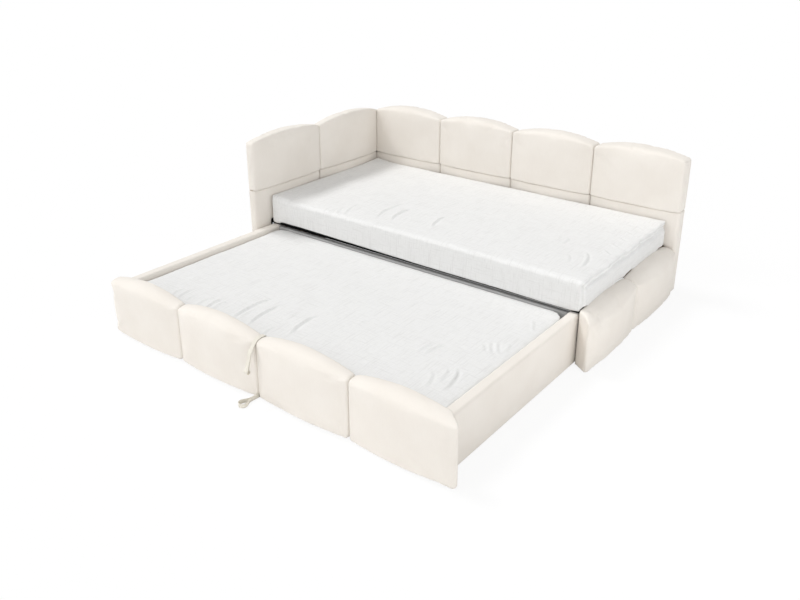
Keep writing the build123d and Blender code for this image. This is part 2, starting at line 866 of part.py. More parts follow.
def floor_glides():
    """Plastic glides under the boards that stand on the floor."""
    side_x = side_core_in - side_core_thick / 2
    foot_x = foot_core_x + foot_core_thick / 2
    back_y = back_core_y + back_core_thick / 2
    spots = [(back_right * share, back_y) for share in glide_shares]
    spots += [(side_x, side_front * share) for share in side_glide_shares]
    spots += [(foot_x, foot_front * share) for share in side_glide_shares]
    glides = []
    for x, y in spots:
        glides.append(Pos(x, y, glide_thick / 2) * Cylinder(glide_r, glide_thick))
    return Compound(children=glides)


glide_shares = (0.01, 0.34, 0.66, 0.98)
side_glide_shares = (0.4, 0.9)


def upper_strap():
    """Doubled webbing over the centre seam: sewn down behind it, bowed out in front, and
    ending in an eye."""
    back_y = front_back_y + strap_fold / 2
    nose_y = front_seam_y - strap_reach
    top_z = front_seam_z + strap_rise + strap_fold / 2
    low_z = top_z - strap_hang
    brow_y = front_seam_y + strap_brow
    tail = FilletPolyline((back_y, top_z - strap_tail), (back_y, top_z), (brow_y, top_z),
                          radius=strap_bend_r)
    drop = FilletPolyline((brow_y, top_z), (front_seam_y - strap_brow_front, top_z),
                          (front_seam_y - strap_cheek, top_z - strap_cheek_drop),
                          (nose_y, low_z), radius=strap_bow_r)
    ring = Circle(strap_eye_r + strap_thick) - Circle(strap_eye_r)
    eye = Pos(nose_y, low_z - strap_eye_r) * ring
    band = trace(tail, strap_fold) + trace(drop, strap_fold) + eye
    strip = Plane.YZ.offset(strap_x - strap_width / 2) * band
    return extrude(strip, strap_width)


def strap_slot():
    """Part of the lower strap that is caught in the centre seam, back to the board."""
    half = strap_fold / 2
    return span(strap_x - half, strap_x + half, front_seam_y - strap_knee, front_core_front,
                loop_lift, loop_lift + loop_height)


def lower_strap():
    """Doubled webbing from the foot of the centre seam, on edge, ending in an open loop."""
    knee = (strap_x, front_seam_y - strap_knee)
    loop_y = strap_tip + loop_r
    loop_x = strap_x - strap_lean
    neck = FilletPolyline((strap_x, front_core_front), knee, (loop_x, loop_y + loop_r / 2),
                          radius=strap_neck_r)
    ring = Circle(loop_r) - Circle(loop_r - strap_thick)
    plan = trace(neck, strap_fold) - Pos(loop_x, loop_y) * Circle(loop_r - strap_thick / 2)
    plan = plan + Pos(loop_x, loop_y) * ring
    return Pos(0, 0, loop_lift) * extrude(plan, loop_height)


def foot_lining_block():
    """Flat covered panel on the inner face of the foot end."""
    start = foot_front + front_thick + touch
    top = foot_seam_z - foot_core_top_wrap
    return span(foot_face, foot_core_x, start, back_core_y, floor_z, top)


def front_lining_block():
    """Flat covered panel on the inner face of the trundle front, between the rails."""
    return span(trundle_inner_left, trundle_inner_right, front_core_back, front_back_y,
                trundle_hem_z, rail_top_z)


def linings():
    """Inner panels; the foot end's is drilled for the beam's screws."""
    foot = foot_lining_block()
    for room in beam_bolts(screw_hole(short_screw)):
        foot = foot - room
    return [("foot_lining", foot), ("front_lining", front_lining_block())]


def fixings():
    """Screws, bolts and pins, each kind in one group."""
    pins = [Pos(*spot) * Cylinder(pin_r, pin_length) for spot in pin_spots()]
    corner = heads_back(corner_screw_spots(), screw(screw_length))
    front = rail_screws(screw(screw_length))
    trundle = tab_screws(screw(short_screw)) + bearer_screws(screw(short_screw))
    return [
        ("board_pins", Compound(children=pins)),
        ("corner_screws", Compound(children=corner)),
        ("beam_bolts", Compound(children=beam_bolts(screw(short_screw)))),
        ("ledge_screws", Compound(children=ledge_screws(screw(short_screw)))),
        ("front_board_screws", Compound(children=front)),
        ("trundle_screws", Compound(children=trundle)),
        ("castor_screws", Compound(children=castor_screws(screw(short_screw)))),
    ]


def all_parts():
    """Every node of the bed as (name, solid), in working coordinates."""
    parts = boards() + back_pads() + side_pads() + foot_pads() + linings()
    parts += [("front_beam", front_beam()), ("beam_end_plates", beam_end_plates())]
    front_ledge, back_ledge = slat_ledges()
    parts += [("front_slat_ledge", front_ledge), ("back_slat_ledge", back_ledge)]
    slat_front = beam_back + ledge_wall + touch
    slat_back = back_core_y - ledge_wall - touch
    parts += [("main_slats", slats(side_core_in, foot_face, slat_front, slat_back, deck_z))]
    parts += [("main_mattress", main_mattress())]
    parts += [("corner_brackets", corner_brackets()), ("floor_glides", floor_glides())]
    parts += [("front_board", front_board())] + front_pads() + side_rails()
    parts += [("trundle_rear_rail", rear_rail())] + bearers()
    parts += [("bearer_brackets", bearer_brackets())]
    parts += [("trundle_slats", slats(trundle_inner_left, trundle_inner_right,
                                      front_back_y + touch, rear_rail_front - touch,
                                      trundle_deck_z))]
    parts += [("trundle_mattress", cushion(trundle_inner_left + touch,
                                           trundle_inner_right - touch,
                                           front_back_y + mattress_gap,
                                           rear_rail_front - touch, trundle_deck_z + touch,
                                           trundle_corner_r))]
    parts += [("castor_forks", castor_forks()), ("castor_axles", castor_axles())]
    for i, (x, y) in enumerate(castor_spots()):
        parts.append((f"castor_wheel_{i + 1}", castor_wheel(x, y)))
    parts += [("upper_pull_strap", upper_strap()), ("lower_pull_strap", lower_strap())]
    return parts + fixings()


os.makedirs("parts", exist_ok=True)
for node_name, solid in all_parts():
    export_step(Pos(-datum_x, -datum_y, 0) * solid, f"parts/{node_name}.step")
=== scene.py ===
"""Looks of an upholstered daybed with an L-shaped padded back, a low foot end and a trundle.

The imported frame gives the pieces' places and sizes in metres. This file dresses it: padded
modules, mattresses in slub linen, webbing pull straps, stitching and finishes, and the studio.
"""

import json
import math
from contextlib import contextmanager

import bmesh
import bpy
import numpy as np
from bpy.props import FloatProperty, FloatVectorProperty, IntProperty, PointerProperty
from bpy.types import Operator, Panel, PropertyGroup
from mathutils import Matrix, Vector, noise
from mathutils.bvhtree import BVHTree
from mathutils.kdtree import KDTree


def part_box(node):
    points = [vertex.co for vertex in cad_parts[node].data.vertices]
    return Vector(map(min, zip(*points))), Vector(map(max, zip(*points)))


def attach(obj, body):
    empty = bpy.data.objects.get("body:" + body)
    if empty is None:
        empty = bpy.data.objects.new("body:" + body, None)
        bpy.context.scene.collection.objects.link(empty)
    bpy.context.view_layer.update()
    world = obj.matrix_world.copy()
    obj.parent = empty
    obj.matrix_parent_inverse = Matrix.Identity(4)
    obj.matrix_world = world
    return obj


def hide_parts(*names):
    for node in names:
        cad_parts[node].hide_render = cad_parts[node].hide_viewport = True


bl_info = {
    "name": "Upholstered daybed",
    "version": (1, 0, 0),
    "blender": (4, 5, 0),
    "location": "View3D > Sidebar > Daybed",
    "description": "Dresses the frame of an upholstered daybed with a pull-out trundle",
    "category": "Object",
}

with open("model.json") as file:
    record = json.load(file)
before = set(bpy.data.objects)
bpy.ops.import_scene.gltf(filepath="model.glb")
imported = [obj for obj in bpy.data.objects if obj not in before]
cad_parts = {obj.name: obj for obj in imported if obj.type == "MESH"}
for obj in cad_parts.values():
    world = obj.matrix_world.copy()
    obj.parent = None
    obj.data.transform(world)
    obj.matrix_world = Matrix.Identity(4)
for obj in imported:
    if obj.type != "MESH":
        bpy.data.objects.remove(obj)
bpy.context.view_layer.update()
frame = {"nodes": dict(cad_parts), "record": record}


def linear(red, green, blue):
    """Linear colour of an sRGB colour given as 0 to 255."""
    shares = (level / 255 for level in (red, green, blue))
    return tuple(share / 12.92 if share <= 0.04045 else ((share + 0.055) / 1.055) ** 2.4
                 for share in shares)


def colour_setting(name, text, red, green, blue):
    return FloatVectorProperty(name=name, description=text, subtype="COLOR", size=3,
                               min=0.0, max=1.0, default=linear(red, green, blue))


def length_setting(name, text, metres):
    return FloatProperty(name=name, description=text, default=metres, unit="LENGTH",
                         min=0.0, precision=4)


class DaybedColours(PropertyGroup):
    velvet: colour_setting("Velvet", "Cream pile of the modules and rails", 234, 229, 222)
    velvet_deep: colour_setting("Velvet, brushed down", "Pile seen against its nap", 228, 222, 214)
    linen: colour_setting("Mattress linen", "Ground of the mattress covers", 229, 229, 228)
    linen_slub: colour_setting("Linen slubs", "Thick threads in the covers", 202, 201, 199)
    lining: colour_setting("Lining", "Plain cloth on hidden inner faces", 205, 199, 190)
    webbing: colour_setting("Webbing", "Pull straps", 236, 231, 219)
    thread: colour_setting("Thread", "Stitching", 226, 219, 206)
    black_steel: colour_setting("Black steel", "Powder-coated beam and ledges", 15, 15, 16)
    grey_steel: colour_setting("Grey steel", "Powder-coated rear rail", 176, 176, 175)


class DaybedPadding(PropertyGroup):
    grain: length_setting("Mesh size", "Face size of a padded module", 0.0062)
    trial_grain: length_setting("Cloth size", "Face size in the cloth simulation", 0.015)
    pressure: FloatProperty(name="Pressure", description="Push of the filling", default=4.0,
                            min=0.0)
    frames: IntProperty(name="Steps", description="Steps of the cloth simulation", default=14,
                        min=1)
    swell: length_setting("Swell", "Most that a module's face stands out", 0.010)
    unevenness: length_setting("Unevenness", "Soft lumps in the filling", 0.0011)


class DaybedMattress(PropertyGroup):
    grain: length_setting("Mesh size", "Face size of a mattress", 0.0052)
    trial_grain: length_setting("Cloth size", "Face size in the cloth simulation", 0.028)
    swell: length_setting("Swell", "Most that a mattress face stands out", 0.004)
    fold_width: length_setting("Fold width", "Half width of a wrinkle in the cover", 0.0075)
    seam_depth: length_setting("Seam depth", "Depth of the corner seams", 0.0060)
    fold_height: FloatProperty(name="Fold height", description="Height of the wrinkles, as a share",
                               default=1.45, min=0.0)


class DaybedStitching(PropertyGroup):
    pitch: length_setting("Stitch pitch", "From one stitch to the next", 0.0042)
    length: length_setting("Stitch length", "Length of the thread that shows", 0.0030)
    radius: length_setting("Thread radius", "Half the thread's thickness", 0.00032)


class DaybedStage(PropertyGroup):
    eye: FloatVectorProperty(name="Camera place", description="Where the camera stands",
                             subtype="XYZ", unit="LENGTH", size=3,
                             default=(2.25001, -2.94455, 1.84091))
    tilt: FloatProperty(name="Camera tilt", description="From straight down", unit="ROTATION",
                        default=math.radians(67.868))
    turn: FloatProperty(name="Camera turn", description="Round the upright axis",
                        unit="ROTATION", default=math.radians(37.505))
    lens: FloatProperty(name="Lens", description="Focal length in mm", default=36.533)
    shift: FloatProperty(name="Shift", description="Vertical shift of the frame", default=-0.0625)
    sky: FloatProperty(name="Sky", description="Light from all round", default=0.485)
    key: FloatProperty(name="Key light", description="Sun-like light from the upper left",
                       default=1.34)
    slant: FloatProperty(name="Slanting light", description="Sun-like light from the front left",
                         default=0.40)
    front: FloatProperty(name="Front light", description="Wide light from the front", default=0.70)
    fill: FloatProperty(name="Fill light", description="Wide light from the right", default=0.735)
    card: FloatProperty(name="Card", description="Watts of the bounce card by the foot end",
                        default=2.9)


FULL_TURN = 6.2832


class Wire:
    """A node's output; arithmetic on it adds Math nodes to its tree."""

    def __init__(self, tree, socket):
        self.tree, self.socket = tree, socket

    def math(self, operation, other=0.0, swapped=False):
        pair = (other, self) if swapped else (self, other)
        return wire(self.tree, "ShaderNodeMath", dict(enumerate(pair)), operation=operation)

    def __add__(self, other):
        return self.math("ADD", other)

    def __mul__(self, other):
        return self.math("MULTIPLY", other)

    def __rsub__(self, other):
        return self.math("SUBTRACT", other, swapped=True)

    def __rtruediv__(self, other):
        return self.math("DIVIDE", other, swapped=True)

    def spread(self, low, high, to_low=0.0, to_high=1.0):
        """Maps from one range to another and keeps it there."""
        return wire(self.tree, "ShaderNodeMapRange",
                    {"Value": self, "From Min": low, "From Max": high,
                     "To Min": to_low, "To Max": to_high})


def fill_socket(tree, socket, value):
    """Links an output to an input, or sets the input to a plain value."""
    if isinstance(value, Wire):
        value = value.socket
    if isinstance(value, bpy.types.NodeSocket):
        tree.links.new(value, socket)
    elif socket.type == "RGBA" and len(value) == 3:
        socket.default_value = (*value, 1.0)
    else:
        socket.default_value = value


def put(tree, kind, inputs=None, **settings):
    """Adds a node with its settings and inputs."""
    item = tree.nodes.new(kind)
    for key, value in settings.items():
        setattr(item, key, value)
    for key, value in (inputs or {}).items():
        fill_socket(tree, item.inputs[key], value)
    return item


def wire(tree, kind, inputs=None, output=0, **settings):
    """Adds a node and gives one of its outputs."""
    return Wire(tree, put(tree, kind, inputs, **settings).outputs[output])


def blend_colours(tree, factor, first, second):
    return wire(tree, "ShaderNodeMix", {0: factor, 6: first, 7: second}, 2, data_type="RGBA")


def object_place(tree):
    return wire(tree, "ShaderNodeTexCoord", output="Object")


def cloth_place(tree):
    return wire(tree, "ShaderNodeUVMap", uv_map="cloth")


def turned_place(tree, turn=(0.0, 0.6, 0.0)):
    return wire(tree, "ShaderNodeMapping", {"Vector": object_place(tree), "Rotation": turn})


def noise_at(tree, vector, scale, detail, roughness=0.5):
    return wire(tree, "ShaderNodeTexNoise", {"Vector": vector, "Scale": scale, "Detail": detail,
                                             "Roughness": roughness})


def stretched_noise(tree, vector, stretch, detail=2.0, roughness=0.5):
    """Noise drawn out by a different amount along each axis."""
    placed = wire(tree, "ShaderNodeMapping", {"Vector": vector, "Scale": stretch})
    return noise_at(tree, placed, 1.0, detail, roughness)


def axes_of(tree, vector):
    split = put(tree, "ShaderNodeSeparateXYZ", {0: vector})
    return [Wire(tree, split.outputs[axis]) for axis in "XYZ"]


def new_group(name, colours, numbers, vector=None):
    """Empty shader group with colour and number inputs, and maybe a vector; gives their wires."""
    inputs = [(label, "NodeSocketColor", (0.5, 0.5, 0.5, 1.0)) for label in colours]
    inputs += [(label, "NodeSocketFloat", value) for label, value in numbers.items()]
    if vector:
        inputs.append((vector, "NodeSocketVector", (0.0, 0.0, 0.0)))
    tree = bpy.data.node_groups.new(name, "ShaderNodeTree")
    for label, kind, value in inputs:
        socket = tree.interface.new_socket(name=label, in_out="INPUT", socket_type=kind)
        socket.default_value = value
    start = tree.nodes.new("NodeGroupInput")
    return tree, [Wire(tree, start.outputs[label]) for label, _, _ in inputs]


def finish_group(tree, **outputs):
    """Gives a group its outputs: one colour, the rest numbers."""
    for label in outputs:
        kind = "NodeSocketColor" if label == "Color" else "NodeSocketFloat"
        tree.interface.new_socket(name=label, in_out="OUTPUT", socket_type=kind)
    end = tree.nodes.new("NodeGroupOutput")
    for label, value in outputs.items():
        fill_socket(tree, end.inputs[label], value)
    return tree


def use_group(tree, name, **inputs):
    item = tree.nodes.new("ShaderNodeGroup")
    item.node_tree = shared_groups()[name]
    for key, value in inputs.items():
        fill_socket(tree, item.inputs[key.replace("_", " ")], value)
    return item


def pile_group():
    """Short pile: broad nap shades, fine fibre noise and a tiny height."""
    tree, (raised, brushed, nap_size, fibre_size) = new_group(
        "pile", ("Raised", "Brushed"), {"Nap size": 5.0, "Fibre size": 620.0})
    place = object_place(tree)
    broad = noise_at(tree, place, nap_size, 3.0, 0.55)
    fibre = noise_at(tree, place, fibre_size, 2.0, 0.6)
    strands = stretched_noise(tree, place, (190.0, 190.0, 26.0))
    shade = (broad.spread(0.32, 0.68) * 0.72 + fibre.spread(0.25, 0.75, -0.20, 0.20)
             + strands.spread(0.3, 0.7, -0.09, 0.09))
    return finish_group(tree, Color=blend_colours(tree, 1.0 - shade, raised, brushed),
                        Height=fibre * 0.7 + strands * 0.3)


def slub_group():
    """Plain weave with slubs: thick threads of uneven length both ways."""
    tree, (ground, slub, threads, slub_share, cloth) = new_group(
        "slub weave", ("Ground", "Slub"), {"Threads": 760.0, "Slub share": 0.5}, "Vector")
    along = stretched_noise(tree, cloth, (8.0, 150.0, 1.0), 3.0, 0.6)
    across = stretched_noise(tree, cloth, (160.0, 8.0, 1.0), 3.0, 0.6)
    fine_along = stretched_noise(tree, cloth, (30.0, 640.0, 1.0), 2.0, 0.6)
    fine_across = stretched_noise(tree, cloth, (640.0, 30.0, 1.0), 2.0, 0.6)
    slubs = along.spread(0.54, 0.78).math("MAXIMUM", across.spread(0.52, 0.76))
    fine = fine_along.spread(0.3, 0.7, -0.14, 0.14) + fine_across.spread(0.3, 0.7, -0.14, 0.14)
    x, y, _ = axes_of(tree, cloth)
    warp, weft = ((axis * (threads * FULL_TURN)).math("SINE") for axis in (x, y))
    return finish_group(
        tree, Color=blend_colours(tree, slubs * slub_share + (fine + 0.1), ground, slub),
        Height=warp * weft * 0.25 + slubs * 0.5 + (fine_along + fine_across))


def webbing_group():
    """Narrow woven tape: slanting ribs that zigzag across the width."""
    tree, (light, dark, rib_pitch, cloth) = new_group(
        "tape weave", ("Light", "Dark"), {"Rib pitch": 0.0012}, "Vector")
    x, y, _ = axes_of(tree, cloth)
    turns = FULL_TURN / rib_pitch
    ribs = (((x + y.math("PINGPONG", 0.0034)) * turns).math("SINE") + 1.0) * 0.5
    cross = (y * (turns * 1.6)).math("SINE")
    soft = noise_at(tree, cloth, 240.0, 2.0)
    return finish_group(tree, Color=blend_colours(tree, ribs * 0.6 + soft * 0.4, dark, light),
                        Height=ribs + cross * 0.25)


def grain_group():
    """Long wood grain along X, with pores and a slow change of shade."""
    tree, (early, late, ring_pitch, turn) = new_group(
        "wood grain", ("Early wood", "Late wood"), {"Ring pitch": 90.0}, "Turn")
    turned = turned_place(tree, turn)
    warp = stretched_noise(tree, turned, (1.6, 9.0, 9.0))
    _, y, z = axes_of(tree, turned)
    rings = ((y + z * 0.6) * ring_pitch + warp * 14.0).math("SINE").spread(-1.0, 1.0)
    pores = stretched_noise(tree, turned, (24.0, 900.0, 900.0), 2.0, 0.6).spread(0.5, 0.75)
    shade = rings * 0.55 + pores * 0.45
    return finish_group(tree, Color=blend_colours(tree, shade, early, late),
                        Roughness=shade.spread(0.0, 1.0, 0.55, 0.75), Height=1.0 - shade)


def coating_group():
    """Powder coat: fine orange peel, faint cloudiness and edges rubbed lighter."""
    tree, (coat, rubbed, peel_size, rub_share) = new_group(
        "powder coat", ("Coat", "Rubbed"), {"Peel size": 900.0, "Rub": 0.5})
    place = object_place(tree)
    peel = noise_at(tree, place, peel_size, 1.0)
    cloud = noise_at(tree, place, 7.0, 4.0)
    chips = noise_at(tree, place, 60.0, 3.0)
    round_edge = wire(tree, "ShaderNodeBevel", {"Radius": 0.0016}, samples=4)
    true_face = wire(tree, "ShaderNodeNewGeometry", output="True Normal")
    same = wire(tree, "ShaderNodeVectorMath", {0: round_edge, 1: true_face}, "Value",
                operation="DOT_PRODUCT")
    rub = same.spread(0.98, 0.80) * chips.spread(0.45, 0.65) * rub_share
    clouded = blend_colours(tree, cloud.spread(0.3, 0.7, 0.0, 0.10), coat, rubbed)
    return finish_group(tree, Color=blend_colours(tree, rub, clouded, rubbed),
                        Roughness=cloud.spread(0.3, 0.7, 0.40, 0.52), Height=peel)


_groups = {}


def shared_groups():
    """The effects that several materials use, built once."""
    if not _groups:
        _groups.update(pile=pile_group(), slub=slub_group(), tape=webbing_group(),
                       grain=grain_group(), coating=coating_group())
    return _groups


def start_material(name, **surface):
    """New material with a Principled surface; constants go straight on its sockets."""
    made = bpy.data.materials.new(name)
    made.use_nodes = True
    tree = made.node_tree
    shader = tree.nodes["Principled BSDF"]
    for key, value in surface.items():
        shader.inputs[key.replace("_", " ")].default_value = value
    return made, tree, shader


def cover(tree, shader, colour, height, strength, distance, roughness=None):
    """Wires a surface's colour, bump and roughness."""
    fill_socket(tree, shader.inputs["Base Color"], colour)
    if roughness is not None:
        fill_socket(tree, shader.inputs["Roughness"], roughness)
    fill_socket(tree, shader.inputs["Normal"],
                wire(tree, "ShaderNodeBump", {"Height": height, "Strength": strength,
                                              "Distance": distance}))


def effect_material(name, effect, bump, surface, place=None, **inputs):
    """Material whose colour, bump and roughness come from a shared effect.

    bump is its strength and distance; place gives the effect its vector, if it takes one."""
    made, tree, shader = start_material(name, **surface)
    if place:
        inputs["Vector"] = place(tree)
    outputs = use_group(tree, effect, **inputs).outputs
    cover(tree, shader, outputs["Color"], outputs["Height"], *bump, outputs.get("Roughness"))
    return made


def darker(colour, share):
    return tuple(share * part for part in colour)


def cloth_materials(colours):
    """Velvet, mattress linen, lining and webbing."""
    velvet = dict(Roughness=0.88, Sheen_Weight=0.22, Sheen_Roughness=0.45,
                  Specular_IOR_Level=0.25, Sheen_Tint=(1.0, 0.985, 0.96, 1.0))
    linen = dict(Roughness=0.85, Sheen_Weight=0.10, Sheen_Roughness=0.5, Specular_IOR_Level=0.3)
    plain = dict(Roughness=0.9, Sheen_Weight=0.08, Specular_IOR_Level=0.2)
    webbing = dict(Roughness=0.72, Sheen_Weight=0.12, Specular_IOR_Level=0.35)
    return {
        "velvet": effect_material("velvet", "pile", (0.22, 0.0006), velvet,
                                  Raised=colours.velvet, Brushed=colours.velvet_deep),
        "mattress_cover": effect_material("mattress_cover", "slub", (0.35, 0.0005), linen,
                                          cloth_place, Ground=colours.linen,
                                          Slub=colours.linen_slub),
        "lining": effect_material("lining", "slub", (0.3, 0.0004), plain, turned_place,
                                  Ground=colours.lining, Slub=darker(colours.lining, 0.86),
                                  Threads=900.0, Slub_share=0.35),
        "webbing": effect_material("webbing", "tape", (0.5, 0.0004), webbing, cloth_place,
                                   Light=colours.webbing, Dark=darker(colours.webbing, 0.80)),
    }


def thread_material(colours):
    made, tree, shader = start_material("thread", Roughness=0.55, Specular_IOR_Level=0.4)
    ply = noise_at(tree, object_place(tree), 2600.0, 1.0)
    shade = blend_colours(tree, ply, darker(colours.thread, 0.82), tuple(colours.thread))
    cover(tree, shader, shade, ply, 0.4, 0.0002)
    return made


def coated_steel(name, coat, rubbed, rub, shine=0.5):
    return effect_material(name, "coating", (0.12, 0.0002), {"Specular_IOR_Level": shine},
                           Coat=coat, Rubbed=rubbed, Rub=rub)


def zinc_material():
    made, tree, shader = start_material("zinc_steel", Metallic=1.0)
    place = object_place(tree)
    flakes = wire(tree, "ShaderNodeTexVoronoi", {"Vector": place, "Scale": 260.0})
    smear = noise_at(tree, place, 90.0, 3.0)
    shade = blend_colours(tree, flakes * 0.5 + smear * 0.5, linear(176, 180, 184),
                          linear(206, 208, 210))
    cover(tree, shader, shade, smear, 0.08, 0.0003, smear.spread(0.3, 0.7, 0.26, 0.42))
    return made


def wood_material(name, early, late, pitch, turn):
    return effect_material(name, "grain", (0.25, 0.0004), {"Specular_IOR_Level": 0.35},
                           Early_wood=early, Late_wood=late, Ring_pitch=pitch, Turn=turn)


def plastic_material(name, shade, lighter, rough):
    made, tree, shader = start_material(name, Roughness=rough, Specular_IOR_Level=0.45)
    place = object_place(tree)
    mould = noise_at(tree, place, 1400.0, 1.0)
    scuff = noise_at(tree, place, 70.0, 4.0)
    cover(tree, shader, blend_colours(tree, scuff.spread(0.45, 0.75), shade, lighter), mould,
          0.12, 0.0002)
    return made


_finishes = {}


def finish_named(slot):
    """The procedural material of one of the record's material slots."""
    if not _finishes:
        colours = bpy.context.scene.daybed_colours
        _finishes.update(cloth_materials(colours))
        _finishes.update({
            "thread": thread_material(colours),
            "black_steel": coated_steel("black_steel", colours.black_steel, linear(34, 34, 36),
                                        0.3, 0.0),
            "grey_steel": coated_steel("grey_steel", colours.grey_steel, linear(176, 176, 176),
                                       0.6),
            "zinc_steel": zinc_material(),
            "board": wood_material("board", linear(206, 178, 138), linear(172, 140, 98), 34.0,
                                   (0.0, 0.0, 0.3)),
            "timber": wood_material("timber", linear(222, 196, 154), linear(188, 152, 106), 150.0,
                                    (0.0, 0.0, math.pi / 2)),
            "wheel_plastic": plastic_material("wheel_plastic", linear(38, 38, 40),
                                              linear(72, 72, 74), 0.42),
            "glide_plastic": plastic_material("glide_plastic", linear(58, 56, 54),
                                              linear(92, 90, 88), 0.5),
        })
    return _finishes[slot]


def eased(share):
    """A share from 0 to 1 with a soft start and end."""
    return share * share * (3 - 2 * share)


def smooth_faces(mesh):
    for face in mesh.polygons:
        face.use_smooth = True


def add_object(name, data):
    made = bpy.data.objects.new(name, data)
    bpy.context.scene.collection.objects.link(made)
    return made


def drop_object(thing):
    mesh = thing.data
    bpy.data.objects.remove(thing)
    if mesh is not None and mesh.users == 0:
        bpy.data.meshes.remove(mesh)


@contextmanager
def editing(mesh):
    """A mesh's vertices, edges and faces for editing, written back at the end."""
    work = bmesh.new()
    work.from_mesh(mesh)
    yield work
    work.to_mesh(mesh)
    work.free()


def welded_copy(node, name):
    """Copy of a CAD node's mesh with its loose triangles joined."""
    mesh = frame["nodes"][node].data.copy()
    mesh.materials.clear()
    with editing(mesh) as work:
        bmesh.ops.remove_doubles(work, verts=work.verts, dist=2e-6)
    return add_object(name, mesh)


def settled(thing):
    """Plain mesh of an object with its modifiers carried out."""
    graph = bpy.context.evaluated_depsgraph_get()
    return bpy.data.meshes.new_from_object(thing.evaluated_get(graph), depsgraph=graph)


def even_mesh(node, name, size, smooth_steps):
    """Remeshed copy of a CAD node in even faces of the given size."""
    source = welded_copy(node, name)
    remesh = source.modifiers.new("even", "REMESH")
    remesh.mode = "VOXEL"
    remesh.voxel_size = size
    if smooth_steps:
        smooth = source.modifiers.new("soften", "SMOOTH")
        smooth.factor = 0.5
        smooth.iterations = smooth_steps
    mesh = settled(source)
    mesh.name = name
    drop_object(source)
    return add_object(name, mesh)


def points_of(mesh):
    flat = np.empty(len(mesh.vertices) * 3)
    mesh.vertices.foreach_get("co", flat)
    return flat.reshape(-1, 3)


def set_points(mesh, points):
    mesh.vertices.foreach_set("co", np.ascontiguousarray(points, dtype=np.float32).ravel())
    mesh.update()


def normals_of(mesh):
    flat = np.empty(len(mesh.vertices) * 3, dtype=np.float32)
    mesh.vertex_normals.foreach_get("vector", flat)
    return flat.reshape(-1, 3).astype(float)


def neighbour_tree(node, reach):
    """Search tree of the CAD surfaces round a node."""
    low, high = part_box(node)
    low = [part - reach for part in low]
    high = [part + reach for part in high]
    corners, faces = [], []
    for other, thing in frame["nodes"].items():
        if other == node:
            continue
        other_low, other_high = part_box(other)
        if any(other_low[i] > high[i] or other_high[i] < low[i] for i in range(3)):
            continue
        first = len(corners)
        corners.extend(vertex.co[:] for vertex in thing.data.vertices)
        faces.extend(tuple(first + i for i in face.vertices) for face in thing.data.polygons)
    return BVHTree.FromPolygons(corners, faces) if faces else None


def freedom(points, tree, near, far):
    """0 beside a neighbour, rising to 1 where none is near: how far a face may move."""
    if tree is None:
        return np.ones(len(points))
    share = np.empty(len(points))
    for i, point in enumerate(points):
        gap = tree.find_nearest(point, far)[3]
        share[i] = 1.0 if gap is None else min(1.0, max(0.0, (gap - near) / (far - near)))
    return eased(share)


def simulate_swell(things, held, pressure, frames):
    """Blows closed meshes up as filled cloth; returns each one's old and new points."""
    scene = bpy.context.scene
    before = [points_of(thing.data) for thing in things]
    work = add_object("swell trial", bpy.data.meshes.new("swell trial"))
    corners = np.concatenate(before)
    faces, first = [], 0
    for thing, points in zip(things, before):
        faces.extend(tuple(first + i for i in face.vertices) for face in thing.data.polygons)
        first += len(points)
    work.data.from_pydata(corners.tolist(), [], faces)
    work.data.update()
    pins = work.vertex_groups.new(name="held")
    weights = np.concatenate(held)
    for level in np.unique(np.round(weights, 1)):
        if level > 0:
            chosen = np.nonzero(np.abs(weights - level) <= 0.05)[0]
            pins.add([int(i) for i in chosen], float(level), "REPLACE")
    cloth = work.modifiers.new("filling", "CLOTH")
    for name, value in (("quality", 4), ("mass", 0.35), ("tension_stiffness", 22),
                        ("compression_stiffness", 22), ("shear_stiffness", 8),
                        ("bending_stiffness", 1.2), ("use_pressure", True),
                        ("uniform_pressure_force", pressure), ("vertex_group_mass", "held")):
        setattr(cloth.settings, name, value)
    cloth.settings.effector_weights.gravity = 0.0
    cloth.point_cache.frame_start = 1
    cloth.point_cache.frame_end = frames
    for step in range(1, frames + 1):
        scene.frame_set(step)
    blown = settled(work)
    after = points_of(blown)
    bpy.data.meshes.remove(blown)
    scene.frame_set(1)
    drop_object(work)
    pairs, first = [], 0
    for points in before:
        pairs.append((points, after[first:first + len(points)]))
        first += len(points)
    return pairs


def carried(points, old, new, cap):
    """Moves of a coarse mesh, scaled down to a greatest length, passed on to a fine one."""
    moves = new - old
    lengths = np.linalg.norm(moves, axis=1)
    moves *= min(1.0, cap / max(float(np.percentile(lengths, 97)), 1e-9))
    lengths = np.linalg.norm(moves, axis=1)
    moves *= (np.minimum(lengths, cap) / np.maximum(lengths, 1e-9))[:, None]
    tree = KDTree(len(old))
    for i, point in enumerate(old):
        tree.insert(point, i)
    tree.balance()
    out = np.empty_like(points)
    for i, point in enumerate(points):
        found = tree.find_n(point, 5)
        parts = [1.0 / (hit[2] + 1e-4) ** 2 for hit in found]
        total = sum(parts)
        out[i] = sum(moves[hit[1]] * (part / total) for hit, part in zip(found, parts))
    return out


def lumps(points, size, height, seed):
    """Smooth noise, as height along the surface."""
    offset = Vector((seed * 7.3, seed * 3.1, seed * 1.7))
    return height * np.array([noise.noise(Vector(point) / size + offset) for point in points])


def dress(thing, node, body, slot):
    """Finish and body of a finished piece; its CAD node is hidden."""
    thing.data.materials.clear()
    thing.data.materials.append(finish_named(slot))
    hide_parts(node)
    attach(thing, body)


# Modules whose slanting ends close against each other, and how far off the swell is whole
mitred = ("foot_pad_1", "front_pad_4")
mitre_ease = 0.040


